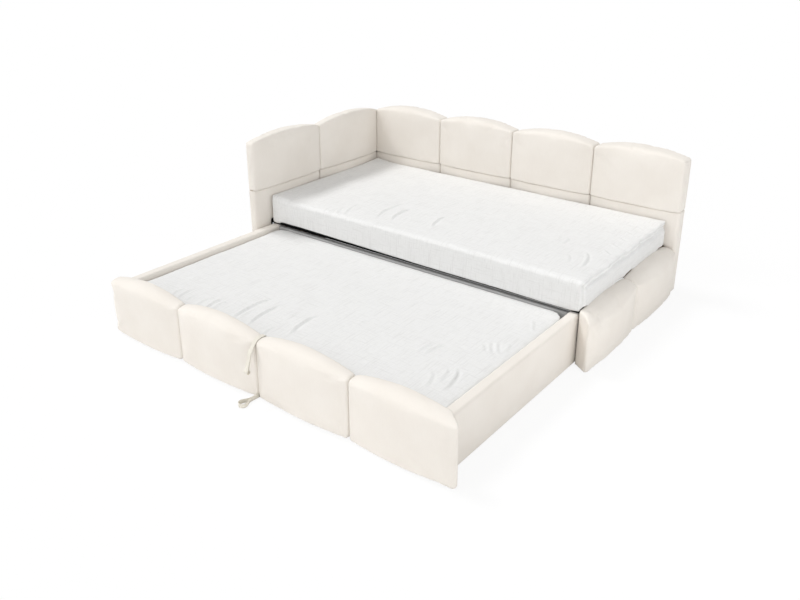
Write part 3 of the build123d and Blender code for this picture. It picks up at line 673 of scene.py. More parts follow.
def off_mitre(points, normals):
    """0 on the slanting end face of a mitred module, rising to 1 away from it."""
    slanting = (normals[:, 0] * normals[:, 1] > 0) & (np.abs(normals[:, :2]).min(axis=1) > 0.45)
    tree = KDTree(int(slanting.sum()))
    for i in np.nonzero(slanting)[0]:
        tree.insert(points[i], int(i))
    tree.balance()
    share = np.ones(len(points))
    if slanting.any():
        gaps = np.array([tree.find(point)[2] for point in points])
        share = np.clip((gaps - 0.002) / mitre_ease, 0, 1)
    return eased(share)


def pad_group(names, body, seed, swell=None):
    """Padded modules from their CAD nodes, swelled together as filled cloth.

    names pairs each CAD node with its piece; swell is the padding's own if left out."""
    padding = bpy.context.scene.daybed_padding
    swell = swell or padding.swell
    size = padding.grain * 1.0
    trials, held, trees = [], [], []
    for node, _ in names:
        tree = neighbour_tree(node, 0.05)
        trees.append(tree)
        trial = even_mesh(node, node + " trial", padding.trial_grain, 0)
        trials.append(trial)
        free = freedom(points_of(trial.data), tree, near=0.002, far=0.012)
        held.append(1.0 - free)
    moves = [None] * len(names)
    if trials:
        moves = simulate_swell(trials, held, padding.pressure, padding.frames)
        for trial in trials:
            drop_object(trial)
    for i, (node, piece) in enumerate(names):
        thing = even_mesh(node, piece, size, 2)
        points = points_of(thing.data)
        free = freedom(points, trees[i], near=0.0015, far=0.040)
        normals = normals_of(thing.data)
        uneven = lumps(points, size=0.13, height=padding.unevenness, seed=seed + i)
        change = normals * uneven[:, None]
        if moves[i] is not None:
            change += carried(points, *moves[i], swell)
        if node in mitred:
            free *= off_mitre(points, normals)
        set_points(thing.data, points + change * free[:, None])
        smooth_faces(thing.data)
        dress(thing, node, body, "velvet")


# Wrinkles in the covers: start x, y and end x, y on the top, sideways bow, height
main_wrinkles = (
    (-0.431, 0.058, -0.476, 0.249, 0.020, 0.0022),
    (-0.460, 0.036, -0.512, 0.158, 0.014, 0.0018),
    (-0.521, 0.049, -0.535, 0.120, 0.006, 0.0014),
    (-0.265, 0.110, -0.281, 0.398, 0.026, 0.0034),
    (-0.179, 0.130, -0.197, 0.358, 0.024, 0.0046),
    (0.044, 0.172, 0.019, 0.364, 0.016, 0.0044),
    (0.603, 0.381, 0.621, 0.480, -0.008, 0.0016),
    (0.663, 0.378, 0.661, 0.476, -0.006, 0.0024),
    (0.788, 0.182, 0.738, 0.292, -0.014, 0.0016),
    (0.857, 0.171, 0.800, 0.372, -0.020, 0.0042),
    (0.905, 0.400, 0.850, 0.445, 0.0, 0.0020),
    (0.905, 0.505, 0.845, 0.540, 0.0, 0.0022),
    (0.900, 0.600, 0.840, 0.640, 0.0, 0.0018),
    (0.905, 0.690, 0.835, 0.735, 0.0, 0.0022),
    (0.905, 0.800, 0.850, 0.835, 0.0, 0.0020),
)
trundle_wrinkles = (
    (-0.883, -0.694, -0.854, -0.625, 0.006, 0.0014),
    (-0.667, -0.900, -0.675, -0.800, 0.008, 0.0022),
    (-0.619, -0.900, -0.636, -0.790, 0.008, 0.0028),
    (-0.564, -0.900, -0.577, -0.815, 0.006, 0.0020),
    (-0.486, -0.905, -0.493, -0.795, 0.010, 0.0022),
    (-0.426, -0.905, -0.442, -0.755, 0.014, 0.0032),
    (-0.397, -0.890, -0.404, -0.770, 0.010, 0.0022),
    (-0.259, -0.900, -0.253, -0.611, 0.024, 0.0042),
    (-0.154, -0.900, -0.175, -0.640, 0.022, 0.0048),
    (0.046, -0.850, 0.025, -0.625, 0.018, 0.0048),
    (-0.239, -0.860, -0.241, -0.770, 0.008, 0.0018),
    (-0.047, -0.910, -0.056, -0.810, 0.008, 0.0022),
    (-0.056, -0.765, -0.058, -0.655, 0.008, 0.0014),
    (0.222, -0.604, 0.222, -0.544, 0.003, 0.0014),
    (0.557, -0.640, 0.570, -0.516, 0.006, 0.0026),
    (0.589, -0.635, 0.612, -0.505, 0.008, 0.0028),
    (0.731, -0.830, 0.687, -0.710, -0.012, 0.0026),
    (0.795, -0.810, 0.749, -0.625, -0.018, 0.0046),
    (0.750, -0.772, 0.722, -0.648, -0.010, 0.0022),
    (0.768, -0.465, 0.731, -0.410, 0.0, 0.0016),
    (0.802, -0.460, 0.743, -0.368, 0.006, 0.0024),
    (0.824, -0.440, 0.766, -0.350, 0.006, 0.0024),
    (0.838, -0.408, 0.817, -0.333, 0.0, 0.0020),
    (0.844, -0.190, 0.786, -0.083, 0.004, 0.0022),
    (0.875, -0.925, 0.881, -0.830, 0.004, 0.0020),
)


def fold_heights(points, folds, half_width):
    """Height of sharp-crested folds with a valley at one side, at points of a flat top."""
    total = np.zeros(len(points))
    for x0, y0, x1, y1, bow, height in folds:
        run = np.array((x1 - x0, y1 - y0))
        reach = np.linalg.norm(run)
        run /= reach
        side = np.array((-run[1], run[0]))
        local = points[:, :2] - (x0, y0)
        along = local @ run / reach
        bend = bow * 4 * along * (1 - along)
        across = (local @ side - bend) / half_width
        window = eased(np.clip(np.minimum(along, 1 - along) * 3.2 + 0.02, 0, 1))
        profile = np.exp(-across ** 2) - 0.75 * np.exp(-(across + 1.7) ** 2)
        total += height * window * profile
    return total


def cloth_uv(mesh, box):
    """UV map in metres, unrolled from the top over the sides."""
    low, high = box
    layer = mesh.uv_layers.new(name="cloth")
    points = points_of(mesh)
    count = len(mesh.polygons)
    facing = np.empty(count * 3, dtype=np.float32)
    mesh.polygons.foreach_get("normal", facing)
    facing = facing.reshape(-1, 3)
    sizes = np.empty(count, dtype=np.int32)
    mesh.polygons.foreach_get("loop_total", sizes)
    corner = np.empty(len(mesh.loops), dtype=np.int32)
    mesh.loops.foreach_get("vertex_index", corner)
    way = np.repeat(facing, sizes, axis=0)
    place = points[corner]
    drop = high[2] - place[:, 2]
    u = place[:, 0].copy()
    v = place[:, 1].copy()
    side = np.abs(way[:, 2]) < 0.7
    end = side & (np.abs(way[:, 0]) > np.abs(way[:, 1]))
    front = side & ~end
    u[end] = np.where(way[end, 0] > 0, high[0] + drop[end], low[0] - drop[end])
    v[front] = np.where(way[front, 1] > 0, high[1] + drop[front], low[1] - drop[front])
    layer.data.foreach_set("uv", np.stack((u, v), axis=1).astype(np.float32).ravel())


# Radius of the covers' upper edges
edge_r = 0.028


def edge_fill(distance, lift, reach):
    """Extra height beside a board: the rounded edge filled out, and a swell behind it."""
    turned = np.clip(1 - distance / edge_r, 0, 1)
    dropped = edge_r * (1 - np.sqrt(np.maximum(0.0, 1 - turned ** 2)))
    return np.minimum(0.6 * dropped, 0.012) + lift * np.exp(-(distance / reach) ** 2)


# How far the corner seams reach inward from the corners of each mattress
main_seam_reach = 0.05
trundle_seam_reach = 0.11
# Loose covers: upright ripples, and the right end's border gathered under its top edge
ripple_height = 0.0010
gather_drop = 0.038
gather_depth = 0.0110
gather_half = 0.0115
border_rise = 0.022
border_height = 0.0040
border_half = 0.011


def cover_height(points, normals, top_z, folds, seed):
    """Height of a loose cover over the filling: wrinkles, lumps, ripples and a gathered end."""
    setting = bpy.context.scene.daybed_mattress
    x, y, z = points.T
    top = np.clip((normals[:, 2] - 0.15) / 0.5, 0, 1)
    height = top * setting.fold_height * fold_heights(points, folds, setting.fold_width)
    height += (lumps(points, size=0.16, height=0.0016, seed=seed)
               + lumps(points, size=0.045, height=0.0008, seed=seed + 5))
    ripple = np.sin(x * 61 + 3 * np.sin(x * 7.7 + seed)) * np.sin(y * 67 + 2 * np.sin(y * 9.1))
    height += (1 - np.abs(normals[:, 2])) * ripple_height * ripple
    ending = np.clip(normals[:, 0] * 1.6 - 0.3, 0, 1) * (normals[:, 2] > -0.3)
    across = z - (top_z - gather_drop + 0.0040 * np.sin(y * 23 + seed) + 0.0024 * np.sin(y * 57))
    height -= ending * gather_depth * np.exp(-(across / gather_half) ** 2)
    border = np.exp(-((across - border_rise) / border_half) ** 2) * (1 + 0.7 * np.sin(y * 71))
    return height + ending * border_height * border


def corner_seams(points, normals, low, high, reach):
    """Depth of a narrow channel down each rounded upright corner."""
    depth = bpy.context.scene.daybed_mattress.seam_depth
    upright = 1 - np.abs(normals[:, 2])
    total = np.zeros(len(points))
    for corner_x in (low[0], high[0]):
        for corner_y in (low[1], high[1]):
            mid = np.array((corner_x, corner_y))
            inward = np.sign((low + high)[:2] / 2 - mid) / math.sqrt(2)
            local = points[:, :2] - mid
            across = local @ np.array((-inward[1], inward[0]))
            near = (np.abs(across) < 0.03) & (local @ inward < reach)
            channel = np.exp(-(across / 0.0055) ** 2)
            channel -= 0.5 * np.exp(-((np.abs(across) - 0.013) / 0.007) ** 2)
            total += near * upright ** 2 * channel * depth
    return total


def mattress(node, piece, body, folds, seed, seam_reach, shape):
    """Crowned mattress in a loose linen cover with wrinkles and sewn corners.

    shape gives each point's extra move, which depends on the boards round the mattress."""
    setting = bpy.context.scene.daybed_mattress
    padding = bpy.context.scene.daybed_padding
    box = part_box(node)
    low, high = (np.array(part) for part in box)
    thing = even_mesh(node, piece, setting.grain * (1.0), 1)
    points = points_of(thing.data)
    tree = neighbour_tree(node, 0.03)
    free = freedom(points, tree, near=0.001, far=0.016)
    change = np.zeros_like(points)
    trial = even_mesh(node, node + " trial", setting.trial_grain, 0)
    held = 1.0 - freedom(points_of(trial.data), tree, near=0.002, far=0.010)
    pairs = simulate_swell([trial], [held], padding.pressure, padding.frames)
    drop_object(trial)
    change += carried(points, *pairs[0], setting.swell)
    normals = normals_of(thing.data)
    height = cover_height(points, normals, high[2], folds, seed)
    height -= corner_seams(points, normals, low, high, seam_reach)
    change = (change + normals * height[:, None]) * free[:, None]
    set_points(thing.data, points + change + shape(points, low, high, tree))
    smooth_faces(thing.data)
    cloth_uv(thing.data, box)
    dress(thing, node, body, "mattress_cover")


# The lip of the main cover's right end, which settles on the foot modules
lip_width = 0.0125
lip_middle = 0.006
lip_reach = 0.020
lip_most = 0.017
lip_room = 0.002
lip_height = 0.045
# How far the lower front edge of the main cover hangs over the beam, at places along X
hem_places = (-0.966, -0.905, -0.885, -0.742, -0.378, 0.079, 0.538, 0.746, 0.893, 0.935)
hem_drops = (0.0160, 0.0160, 0.0040, 0.0020, 0.0070, 0.0140, 0.0150, 0.0180, 0.0180, 0.0120)
hem_back_y = 0.0536


def main_shape(points, low, high, tree):
    """Swell beside the boards, the front hem over the beam, the right end on the foot modules."""
    upper = np.clip((points[:, 2] - (high[2] - 0.060)) / 0.03, 0, 1)
    lift = edge_fill(points[:, 0] - low[0], lift=0.011, reach=0.10)
    lift += edge_fill(high[1] - points[:, 1], lift=0.008, reach=0.12)
    hem = np.clip((hem_back_y - points[:, 1]) / 0.0025, 0, 1)
    hem *= np.clip(1 - (points[:, 2] - low[2]) / 0.040, 0, 1) ** 1.5
    change = upper * np.minimum(lift, 0.020) - hem * np.interp(points[:, 0], hem_places, hem_drops)
    # Gap under the right end's lip, measured down to the foot modules along Y
    over = points[:, 0] > high[0] - lip_width
    if tree is not None and over.any():
        lip_z = points[over, 2].min()
        places = np.linspace(low[1] + 0.004, high[1] - 0.004, 90)
        gaps = []
        for y in places:
            hit = tree.ray_cast((high[0] - lip_middle, y, lip_z + 0.001), (0.0, 0.0, -1.0),
                                lip_reach)[3]
            gaps.append(lip_most if hit is None else min(lip_most, max(0.0, hit - lip_room)))
        gaps = np.convolve(np.pad(gaps, 1, mode="edge"), (0.25, 0.5, 0.25), "valid")
        fade = np.clip(1 - (points[:, 2] - lip_z) / lip_height, 0, 1)
        change -= over * fade * np.interp(points[:, 1], places, gaps)
    return change[:, None] * (0.0, 0.0, 1.0)


# Plan radius of the trundle cover's back corners, and the length over which it sets in
back_corner_r = 0.075
back_corner_ease = 0.020


def trundle_shape(points, low, high, tree):
    """Fuller top edge at the back, and rounder back corners in plan."""
    change = np.zeros_like(points)
    upper = np.clip((points[:, 2] - (high[2] - 0.050)) / 0.03, 0, 1)
    change[:, 2] = upper * edge_fill(high[1] - points[:, 1], lift=0.004, reach=0.07)
    for corner_x in (low[0], high[0]):
        inward = 1.0 if corner_x == low[0] else -1.0
        centre = np.array((corner_x + inward * back_corner_r, high[1] - back_corner_r))
        local = points[:, :2] - centre
        near = (local[:, 0] * inward < 0) & (local[:, 1] > 0)
        reach = np.maximum(np.linalg.norm(local, axis=1), 1e-6)
        start = back_corner_r - back_corner_ease
        past = np.maximum(reach - start, 0.0)
        rounded = start + back_corner_ease * (1 - np.exp(-past / back_corner_ease))
        share = np.where(near & (reach > start), rounded / reach - 1, 0.0)
        # Less towards the straight sides, where the rounding ends
        turned = np.clip(2 * np.minimum(np.abs(local[:, 0]), np.abs(local[:, 1])) / reach, 0, 1)
        change[:, :2] += local * (share * turned)[:, None]
    return change


# Steps along the arcs of a route and along a softened one
arc_step = 0.004
soft_step = 0.003
soft_rounds = 10


def rounded_route(corners, radius):
    """Points of straight runs joined by arcs of one radius, in a plane."""
    route = [np.array(corners[0])]
    for before, at, after in zip(corners, corners[1:], corners[2:]):
        before, at, after = (np.array(part, dtype=float) for part in (before, at, after))
        way_in = (at - before) / np.linalg.norm(at - before)
        way_out = (after - at) / np.linalg.norm(after - at)
        turn = math.acos(max(-1.0, min(1.0, float(way_in @ way_out))))
        if turn < 1e-4:
            continue
        back = radius * math.tan(turn / 2)
        start = at - way_in * back
        side = way_out - way_in * float(way_in @ way_out)
        side /= np.linalg.norm(side)
        centre = start + side * radius
        count = max(3, round(turn * radius / arc_step))
        for i in range(count + 1):
            angle = turn * i / count
            route.append(centre - side * radius * math.cos(angle)
                         + way_in * radius * math.sin(angle))
    route.append(np.array(corners[-1], dtype=float))
    return route


def sides_of(route):
    """Unit vectors square to a route, one at each of its points."""
    out = []
    for i in range(len(route)):
        run = route[min(i + 1, len(route) - 1)] - route[max(i - 1, 0)]
        run = run / np.linalg.norm(run)
        out.append(np.array((-run[1], run[0])))
    return out


def offset_route(route, gap):
    """A route moved sideways in its plane."""
    return [point + side * gap for point, side in zip(route, sides_of(route))]


def softened(route):
    """A route stepped out evenly, with its corners eased and its ends kept."""
    route = np.array(route)
    runs = np.concatenate(((0.0,), np.cumsum(np.linalg.norm(np.diff(route, axis=0), axis=1))))
    places = np.linspace(0.0, runs[-1], max(8, round(runs[-1] / soft_step)))
    even = np.stack([np.interp(places, runs, route[:, i]) for i in range(2)], axis=1)
    for _ in range(soft_rounds):
        even[1:-1] += 0.5 * ((even[:-2] + even[2:]) / 2 - even[1:-1])
    return list(even)


def eye_points(centre, radius, start, sweep, count):
    """Points round a tape's eye."""
    return [np.array(centre) + radius * np.array((math.cos(start + sweep * i / count),
                                                  math.sin(start + sweep * i / count)))
            for i in range(count + 1)]


def tape(name, route, to_world, width, thick):
    """Woven tape along a route in a plane, its width square to that plane."""
    half_w, half_t = width / 2, thick / 2
    edge = half_t * 0.9
    ring = []
    for end, first in ((1, -90), (-1, 90)):
        for i in range(5):
            angle = math.radians(first + 180 * i / 4)
            ring.append((end * (half_w - edge) + edge * math.cos(angle), half_t * math.sin(angle)))
        for i in range(1, 5):
            share = i / 5
            ring.append((end * (half_w - edge) * (1 - 2 * share), end * half_t))
    count = len(ring)
    corners, uvs, length = [], [], 0.0
    for i, (point, side) in enumerate(zip(route, sides_of(route))):
        if i:
            length += float(np.linalg.norm(point - route[i - 1]))
        for across, up in ring:
            spot = point + side * up
            corners.append(to_world(spot[0], spot[1], across))
            uvs.append((length, across))
    faces = []
    for i in range(len(route) - 1):
        for j in range(count):
            k = (j + 1) % count
            faces.append((i * count + j, i * count + k, (i + 1) * count + k, (i + 1) * count + j))
    faces.append(tuple(reversed(range(count))))
    faces.append(tuple((len(route) - 1) * count + j for j in range(count)))
    mesh = bpy.data.meshes.new(name)
    mesh.from_pydata(corners, [], faces)
    with editing(mesh) as work:
        bmesh.ops.recalc_face_normals(work, faces=work.faces)
    layer = mesh.uv_layers.new(name="cloth")
    for loop in mesh.loops:
        layer.data[loop.index].uv = uvs[loop.vertex_index]
    for face in mesh.polygons:
        face.use_smooth = len(face.vertices) == 4
    return add_object(name, mesh), length


def stitch_tree():
    """Geometry Nodes: a short thread at even steps along each seam line."""
    tree = bpy.data.node_groups.new("seam stitches", "GeometryNodeTree")
    face = tree.interface
    face.new_socket(name="Geometry", in_out="INPUT", socket_type="NodeSocketGeometry")
    for label, value in (("Pitch", 0.004), ("Stitch length", 0.003), ("Thread radius", 0.0003)):
        socket = face.new_socket(name=label, in_out="INPUT", socket_type="NodeSocketFloat")
        socket.default_value = value
    face.new_socket(name="Material", in_out="INPUT", socket_type="NodeSocketMaterial")
    face.new_socket(name="Geometry", in_out="OUTPUT", socket_type="NodeSocketGeometry")
    start = tree.nodes.new("NodeGroupInput")
    end = tree.nodes.new("NodeGroupOutput")
    curve = wire(tree, "GeometryNodeMeshToCurve", {0: start.outputs["Geometry"]})
    steps = put(tree, "GeometryNodeCurveToPoints",
                {"Curve": curve, "Length": start.outputs["Pitch"]}, mode="LENGTH")
    thread = put(tree, "GeometryNodeMeshCylinder",
                 {"Vertices": 6, "Side Segments": 2, "Radius": start.outputs["Thread radius"],
                  "Depth": start.outputs["Stitch length"]})
    along = put(tree, "FunctionNodeAlignEulerToVector", {"Vector": steps.outputs["Tangent"]},
                axis="Z")
    copies = wire(tree, "GeometryNodeInstanceOnPoints",
                  {"Points": steps.outputs["Points"], "Instance": thread.outputs["Mesh"],
                   "Rotation": along.outputs["Rotation"]})
    real = wire(tree, "GeometryNodeRealizeInstances", {0: copies})
    finish = wire(tree, "GeometryNodeSetMaterial",
                  {"Geometry": real, "Material": start.outputs["Material"]})
    fill_socket(tree, end.inputs[0], finish)
    return tree


def stitched(name, lines, body):
    """One mesh of stitches along lines of points, riding on a body."""
    setting = bpy.context.scene.daybed_stitching
    corners, edges = [], []
    for line in lines:
        first = len(corners)
        corners.extend(tuple(float(part) for part in point) for point in line)
        edges.extend((first + i, first + i + 1) for i in range(len(line) - 1))
    mesh = bpy.data.meshes.new(name + " lines")
    mesh.from_pydata(corners, edges, [])
    guide = add_object(name + " lines", mesh)
    tree = stitch_tree()
    sewing = guide.modifiers.new("sewing", "NODES")
    sewing.node_group = tree
    values = {"Pitch": setting.pitch, "Stitch length": setting.length,
              "Thread radius": setting.radius, "Material": finish_named("thread")}
    for item in tree.interface.items_tree:
        if item.item_type == "SOCKET" and item.in_out == "INPUT" and item.name in values:
            sewing[item.identifier] = values[item.name]
    result = settled(guide)
    result.name = name
    drop_object(guide)
    thing = add_object(name, result)
    thing.data.materials.clear()
    thing.data.materials.append(finish_named("thread"))
    smooth_faces(thing.data)
    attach(thing, body)


def numbered(stem, count):
    """CAD nodes of a row of pads, each with its piece."""
    return [(f"{stem}_pad_{i}", f"{stem}_module_{i}") for i in range(1, count + 1)]


class DAYBED_OT_back_modules(Operator):
    """Four upper and four lower padded modules of the long back"""
    bl_idname = "daybed.back_modules"
    bl_label = "Back modules"

    def execute(self, context):
        pad_group(numbered("back_upper", 4) + numbered("back_lower", 4), "bed_frame", seed=1)
        return {"FINISHED"}


class DAYBED_OT_end_modules(Operator):
    """Upper and lower padded modules of the high left end"""
    bl_idname = "daybed.end_modules"
    bl_label = "Left end modules"

    def execute(self, context):
        pad_group(numbered("side_upper", 2) + numbered("side_lower", 2), "bed_frame", seed=21)
        return {"FINISHED"}


class DAYBED_OT_foot_modules(Operator):
    """Two low padded modules of the foot end, the front one mitred"""
    bl_idname = "daybed.foot_modules"
    bl_label = "Foot end modules"

    def execute(self, context):
        pad_group(numbered("foot", 2), "bed_frame", seed=31)
        return {"FINISHED"}


class DAYBED_OT_front_modules(Operator):
    """Four padded modules of the trundle front, the last one mitred"""
    bl_idname = "daybed.front_modules"
    bl_label = "Trundle front modules"

    def execute(self, context):
        pad_group(numbered("front", 4), "trundle", seed=41)
        return {"FINISHED"}


class DAYBED_OT_rail_covers(Operator):
    """Fabric pulled over the two trundle side rails"""
    bl_idname = "daybed.rail_covers"
    bl_label = "Rail covers"

    def execute(self, context):
        pairs = [(f"trundle_{side}_cover", f"trundle_{side}_wrap") for side in ("left", "right")]
        pad_group(pairs, "trundle", seed=51, swell=0.0015)
        return {"FINISHED"}


def lining(node, piece, body):
    """Thin cloth panel in place of a lining node, a little inside its faces."""
    low, high = (Vector(part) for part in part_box(node))
    size = high - low
    thin = min(range(3), key=lambda axis: size[axis])
    mesh = bpy.data.meshes.new(piece)
    with editing(mesh) as work:
        bmesh.ops.create_cube(work, size=1.0)
        for vertex in work.verts:
            vertex.co = low + Vector(size[i] * (vertex.co[i] + 0.5) for i in range(3))
        for axis in sorted({0, 1, 2} - {thin}):
            chosen = [edge for edge in work.edges
                      if abs((edge.verts[0].co - edge.verts[1].co)[axis]) > 1e-6]
            bmesh.ops.subdivide_edges(work, edges=chosen, cuts=max(4, round(size[axis] / 0.03)),
                                      use_grid_fill=True)
        rim = [edge for edge in work.edges if edge.calc_face_angle(0) > 1.0]
        bmesh.ops.bevel(work, geom=rim, offset=size[thin] * 0.3, segments=2, profile=0.5,
                        affect="EDGES")
    thing = add_object(piece, mesh)
    smooth_faces(mesh)
    points = points_of(mesh)
    ripple = np.sin(points[:, (thin + 1) % 3] * 23) * np.sin(points[:, (thin + 2) % 3] * 31)
    outward = np.sign(points[:, thin] - (low[thin] + high[thin]) / 2)
    points[:, thin] -= outward * (0.0005 + 0.0004 * ripple)
    set_points(mesh, points)
    dress(thing, node, body, "lining")


class DAYBED_OT_linings(Operator):
    """Thin inner covers of the foot end and of the trundle front"""
    bl_idname = "daybed.linings"
    bl_label = "Linings"

    def execute(self, context):
        lining("foot_lining", "foot_inner_cover", "bed_frame")
        lining("front_lining", "front_inner_cover", "trundle")
        return {"FINISHED"}


class DAYBED_OT_main_mattress(Operator):
    """Main mattress on the deck, in a slub linen cover"""
    bl_idname = "daybed.main_mattress"
    bl_label = "Main mattress"

    def execute(self, context):
        mattress("main_mattress", "main_mattress_padded", "bed_frame", main_wrinkles, 61,
                 main_seam_reach, main_shape)
        return {"FINISHED"}


class DAYBED_OT_trundle_mattress(Operator):
    """Trundle mattress between the rails, in the same cover"""
    bl_idname = "daybed.trundle_mattress"
    bl_label = "Trundle mattress"

    def execute(self, context):
        mattress("trundle_mattress", "trundle_mattress_padded", "trundle", trundle_wrinkles, 71,
                 trundle_seam_reach, trundle_shape)
        return {"FINISHED"}


# Straps, from the part's own points, in metres
strap_x = 0.01935
strap_width = 0.020
strap_ply = 0.0016
strap_tail_bend = 0.006
strap_bow = 0.044
strap_neck_bend = 0.060
stitch_inset = 0.007
tail_stitches = (0.220, 0.245)
upper_tail = ((-0.9474, 0.2166), (-0.9474, 0.2716), (-0.965, 0.2716))
upper_drop = ((-0.965, 0.2716), (-0.997, 0.2716), (-1.036, 0.2196), (-1.055, 0.1536))
upper_eye = (-1.055, 0.1456)
eye_radius = 0.0080
lower_neck = ((0.01935, -0.971), (0.01935, -1.015), (0.01700, -1.050))
lower_eye = (0.01535, -1.087)
lower_radius = 0.0200
lower_z = 0.0105


def doubled(route, centre, radius, start, sweep, count):
    """Both plies of a doubled tape and the eye at its end: outer ply, eye and inner ply."""
    half = strap_ply / 2
    outer, inner = offset_route(route, -half), offset_route(route, half)
    ring = eye_points(centre, radius, start, math.radians(sweep), count)
    if np.linalg.norm(ring[0] - outer[-1]) > np.linalg.norm(ring[-1] - outer[-1]):
        ring.reverse()
    return outer, ring, inner[::-1]


class DAYBED_OT_pull_straps(Operator):
    """Two doubled webbing pull straps at the middle of the trundle front"""
    bl_idname = "daybed.pull_straps"
    bl_label = "Pull straps"

    def execute(self, context):
        half, thick = strap_ply / 2, strap_ply * 0.96
        middle = rounded_route(upper_tail, strap_tail_bend)[:-1] + rounded_route(upper_drop,
                                                                                 strap_bow)
        outer, ring, inner = doubled(middle, upper_eye, eye_radius + half, math.radians(110), 320,
                                     28)
        thing, length = tape("upper_pull_tape", outer[:-1] + ring + inner[1:],
                             lambda y, z, across: (strap_x + across, y, z), strap_width, thick)
        dress(thing, "upper_pull_strap", "trundle", "webbing")
        self.report({"INFO"}, f"upper strap {length:.3f} m")

        lean = math.atan2(lower_eye[1] - lower_neck[2][1], lower_eye[0] - lower_neck[2][0])
        outer, ring, inner = doubled(rounded_route(lower_neck, strap_neck_bend), lower_eye,
                                     lower_radius - half, lean + math.radians(238), 244, 32)
        thing, length = tape("lower_pull_tape", softened(outer + ring + inner),
                             lambda x, y, across: (x, y, lower_z + across), strap_width, thick)
        dress(thing, "lower_pull_strap", "trundle", "webbing")
        self.report({"INFO"}, f"lower strap {length:.3f} m")
        return {"FINISHED"}


class DAYBED_OT_stitching(Operator):
    """Bars of stitches at the upper strap's eye and a sewn box on its tail"""
    bl_idname = "daybed.stitching"
    bl_label = "Stitching"

    def execute(self, context):
        lines = []
        left, right = strap_x - stitch_inset, strap_x + stitch_inset
        proud = strap_ply + 0.0002
        start, end = (np.array(part) for part in upper_drop[-2:])
        run = (end - start) / np.linalg.norm(end - start)
        square = np.array((-run[1], run[0])) * proud
        for back in (0.005, 0.010):
            for side in (-1, 1):
                y, z = end - run * back + side * square
                lines.append([(left, y, z), (right, y, z)])
        tail_y = upper_tail[0][0] + proud
        for x in (left, right):
            lines.append([(x, tail_y, z) for z in tail_stitches])
        for z in tail_stitches:
            lines.append([(left, tail_y, z), (right, tail_y, z)])
        stitched("strap_stitches", lines, "trundle")
        return {"FINISHED"}


class DAYBED_OT_kept_finishes(Operator):
    """Procedural finishes on the nodes kept from the CAD model"""
    bl_idname = "daybed.kept_finishes"
    bl_label = "Finishes of boards, slats and metal"

    def execute(self, context):
        slots = {item["node"]: item["material_slot"] for item in frame["record"]["subparts"]}
        for name, thing in frame["nodes"].items():
            if len(thing.material_slots) == 0:
                raise RuntimeError(f"{name} has no material slot")
            for place in thing.material_slots:
                place.material = finish_named(slots[name])
        return {"FINISHED"}


# Sun-like lamps: name, direction, setting and how wide they spread, in degrees
suns = (
    ("key light", (0.60, 0.05, -1.0), "key", 16),
    ("slanting light", (0.63, 0.88, -1.0), "slant", 18),
    ("front light", (0.10, 1.0, -0.38), "front", 60),
    ("fill light", (-1.0, 0.30, -0.50), "fill", 70),
)
card_place = (2.3, -0.2, 0.35)
card_way = (-1.35, 0.4, -0.10)
card_size = 0.9


def seen_directly(tree):
    """1 for rays from the camera, a reflection or a clear material."""
    path = put(tree, "ShaderNodeLightPath")
    camera, glossy, clear = (Wire(tree, path.outputs[f"Is {kind} Ray"])
                             for kind in ("Camera", "Glossy", "Transmission"))
    return camera.math("MAXIMUM", glossy.math("MAXIMUM", clear))


def empty_tree(owner):
    owner.use_nodes = True
    owner.node_tree.nodes.clear()
    return owner.node_tree


def add_camera(stage):
    camera = add_object("camera", bpy.data.cameras.new("camera"))
    camera.location = stage.eye
    camera.rotation_euler = (stage.tilt, 0.0, stage.turn)
    camera.data.sensor_width = 36.0
    camera.data.lens = stage.lens
    camera.data.shift_y = stage.shift
    camera.data.clip_end = 200.0
    bpy.context.scene.camera = camera


def add_floor():
    """Wide floor that shows as nearly white and still takes soft shadows."""
    mesh = bpy.data.meshes.new("floor")
    with editing(mesh) as work:
        bmesh.ops.create_grid(work, x_segments=8, y_segments=8, size=30.0)
        for vertex in work.verts:
            vertex.co.z = -0.0004
    floor = add_object("floor", mesh)
    made = bpy.data.materials.new("studio floor")
    tree = empty_tree(made)
    plain = wire(tree, "ShaderNodeBsdfDiffuse", {"Color": (0.9, 0.9, 0.9)})
    white = wire(tree, "ShaderNodeEmission", {"Color": (1.0, 1.0, 1.0), "Strength": 1.0})
    soft = wire(tree, "ShaderNodeMixShader", {0: 0.12, 1: white, 2: plain})
    both = wire(tree, "ShaderNodeMixShader", {0: seen_directly(tree), 1: plain, 2: soft})
    put(tree, "ShaderNodeOutputMaterial", {"Surface": both})
    mesh.materials.append(made)


def add_sky(stage):
    """White where it is seen, and the sky setting's strength as light."""
    world = bpy.data.worlds.new("studio")
    bpy.context.scene.world = world
    tree = empty_tree(world)
    level = seen_directly(tree) * (1.0 - stage.sky) + stage.sky
    sky = wire(tree, "ShaderNodeBackground", {"Color": (1.0, 1.0, 1.0), "Strength": level})
    put(tree, "ShaderNodeOutputWorld", {"Surface": sky})


def add_lamp(name, kind, power, way):
    lamp = add_object(name, bpy.data.lights.new(name, kind))
    lamp.data.energy = power
    lamp.rotation_euler = Vector(way).to_track_quat("-Z", "Y").to_euler()
    return lamp


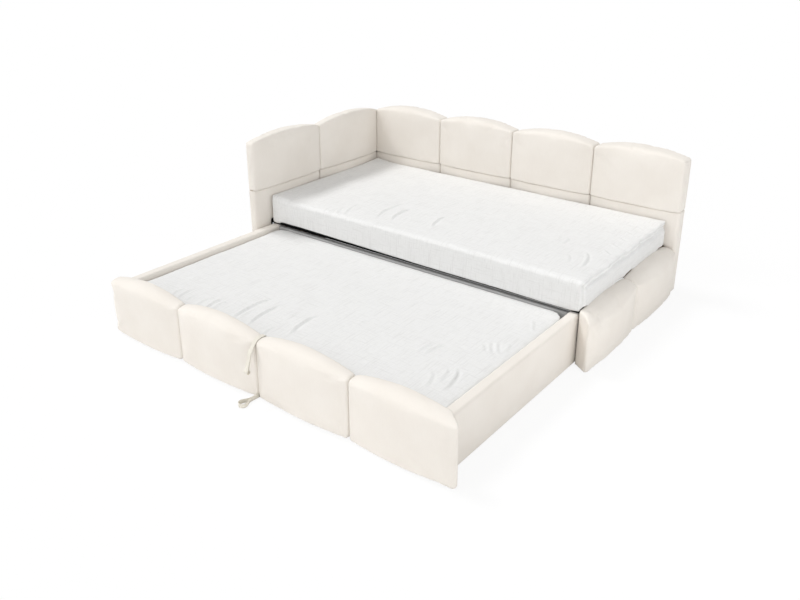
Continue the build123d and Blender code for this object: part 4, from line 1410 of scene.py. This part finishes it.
class DAYBED_OT_stage(Operator):
    """Pale floor, soft studio light and the camera"""
    bl_idname = "daybed.stage"
    bl_label = "Stage"

    def execute(self, context):
        stage = context.scene.daybed_stage
        add_camera(stage)
        add_floor()
        add_sky(stage)
        for name, way, setting, angle in suns:
            add_lamp(name, "SUN", getattr(stage, setting), way).data.angle = math.radians(angle)
        card = add_lamp("bounce card", "AREA", stage.card, card_way)
        card.data.shape = "SQUARE"
        card.data.size = card_size
        card.location = card_place
        context.scene.view_settings.view_transform = "Standard"
        return {"FINISHED"}


class DAYBED_PT_panel(Panel):
    """Sizes, colours and pieces of the daybed"""
    bl_idname = "DAYBED_PT_panel"
    bl_label = "Daybed"
    bl_space_type = "VIEW_3D"
    bl_region_type = "UI"
    bl_category = "Daybed"

    def draw(self, context):
        for owner, title in (("daybed_colours", "Colours"), ("daybed_padding", "Padding"),
                             ("daybed_mattress", "Mattresses"), ("daybed_stitching", "Stitching"),
                             ("daybed_stage", "Stage")):
            box = self.layout.box()
            box.label(text=title)
            group = getattr(context.scene, owner)
            for name in group.__annotations__:
                box.prop(group, name)
        for maker in makers:
            self.layout.operator(maker.bl_idname)


settings = {
    "daybed_colours": DaybedColours,
    "daybed_padding": DaybedPadding,
    "daybed_mattress": DaybedMattress,
    "daybed_stitching": DaybedStitching,
    "daybed_stage": DaybedStage,
}
makers = (
    DAYBED_OT_stage,
    DAYBED_OT_kept_finishes,
    DAYBED_OT_pull_straps,
    DAYBED_OT_back_modules,
    DAYBED_OT_end_modules,
    DAYBED_OT_foot_modules,
    DAYBED_OT_front_modules,
    DAYBED_OT_rail_covers,
    DAYBED_OT_linings,
    DAYBED_OT_main_mattress,
    DAYBED_OT_trundle_mattress,
    DAYBED_OT_stitching,
)


def register():
    for group in settings.values():
        bpy.utils.register_class(group)
    for maker in makers:
        bpy.utils.register_class(maker)
    bpy.utils.register_class(DAYBED_PT_panel)
    for name, group in settings.items():
        setattr(bpy.types.Scene, name, PointerProperty(type=group))


def unregister():
    for name in settings:
        delattr(bpy.types.Scene, name)
    bpy.utils.unregister_class(DAYBED_PT_panel)
    for maker in reversed(makers):
        bpy.utils.unregister_class(maker)
    for group in reversed(list(settings.values())):
        bpy.utils.unregister_class(group)


def main():
    register()
    for maker in makers:
        owner, action = maker.bl_idname.split(".")
        getattr(getattr(bpy.ops, owner), action)()


if __name__ == "__main__":
    main()
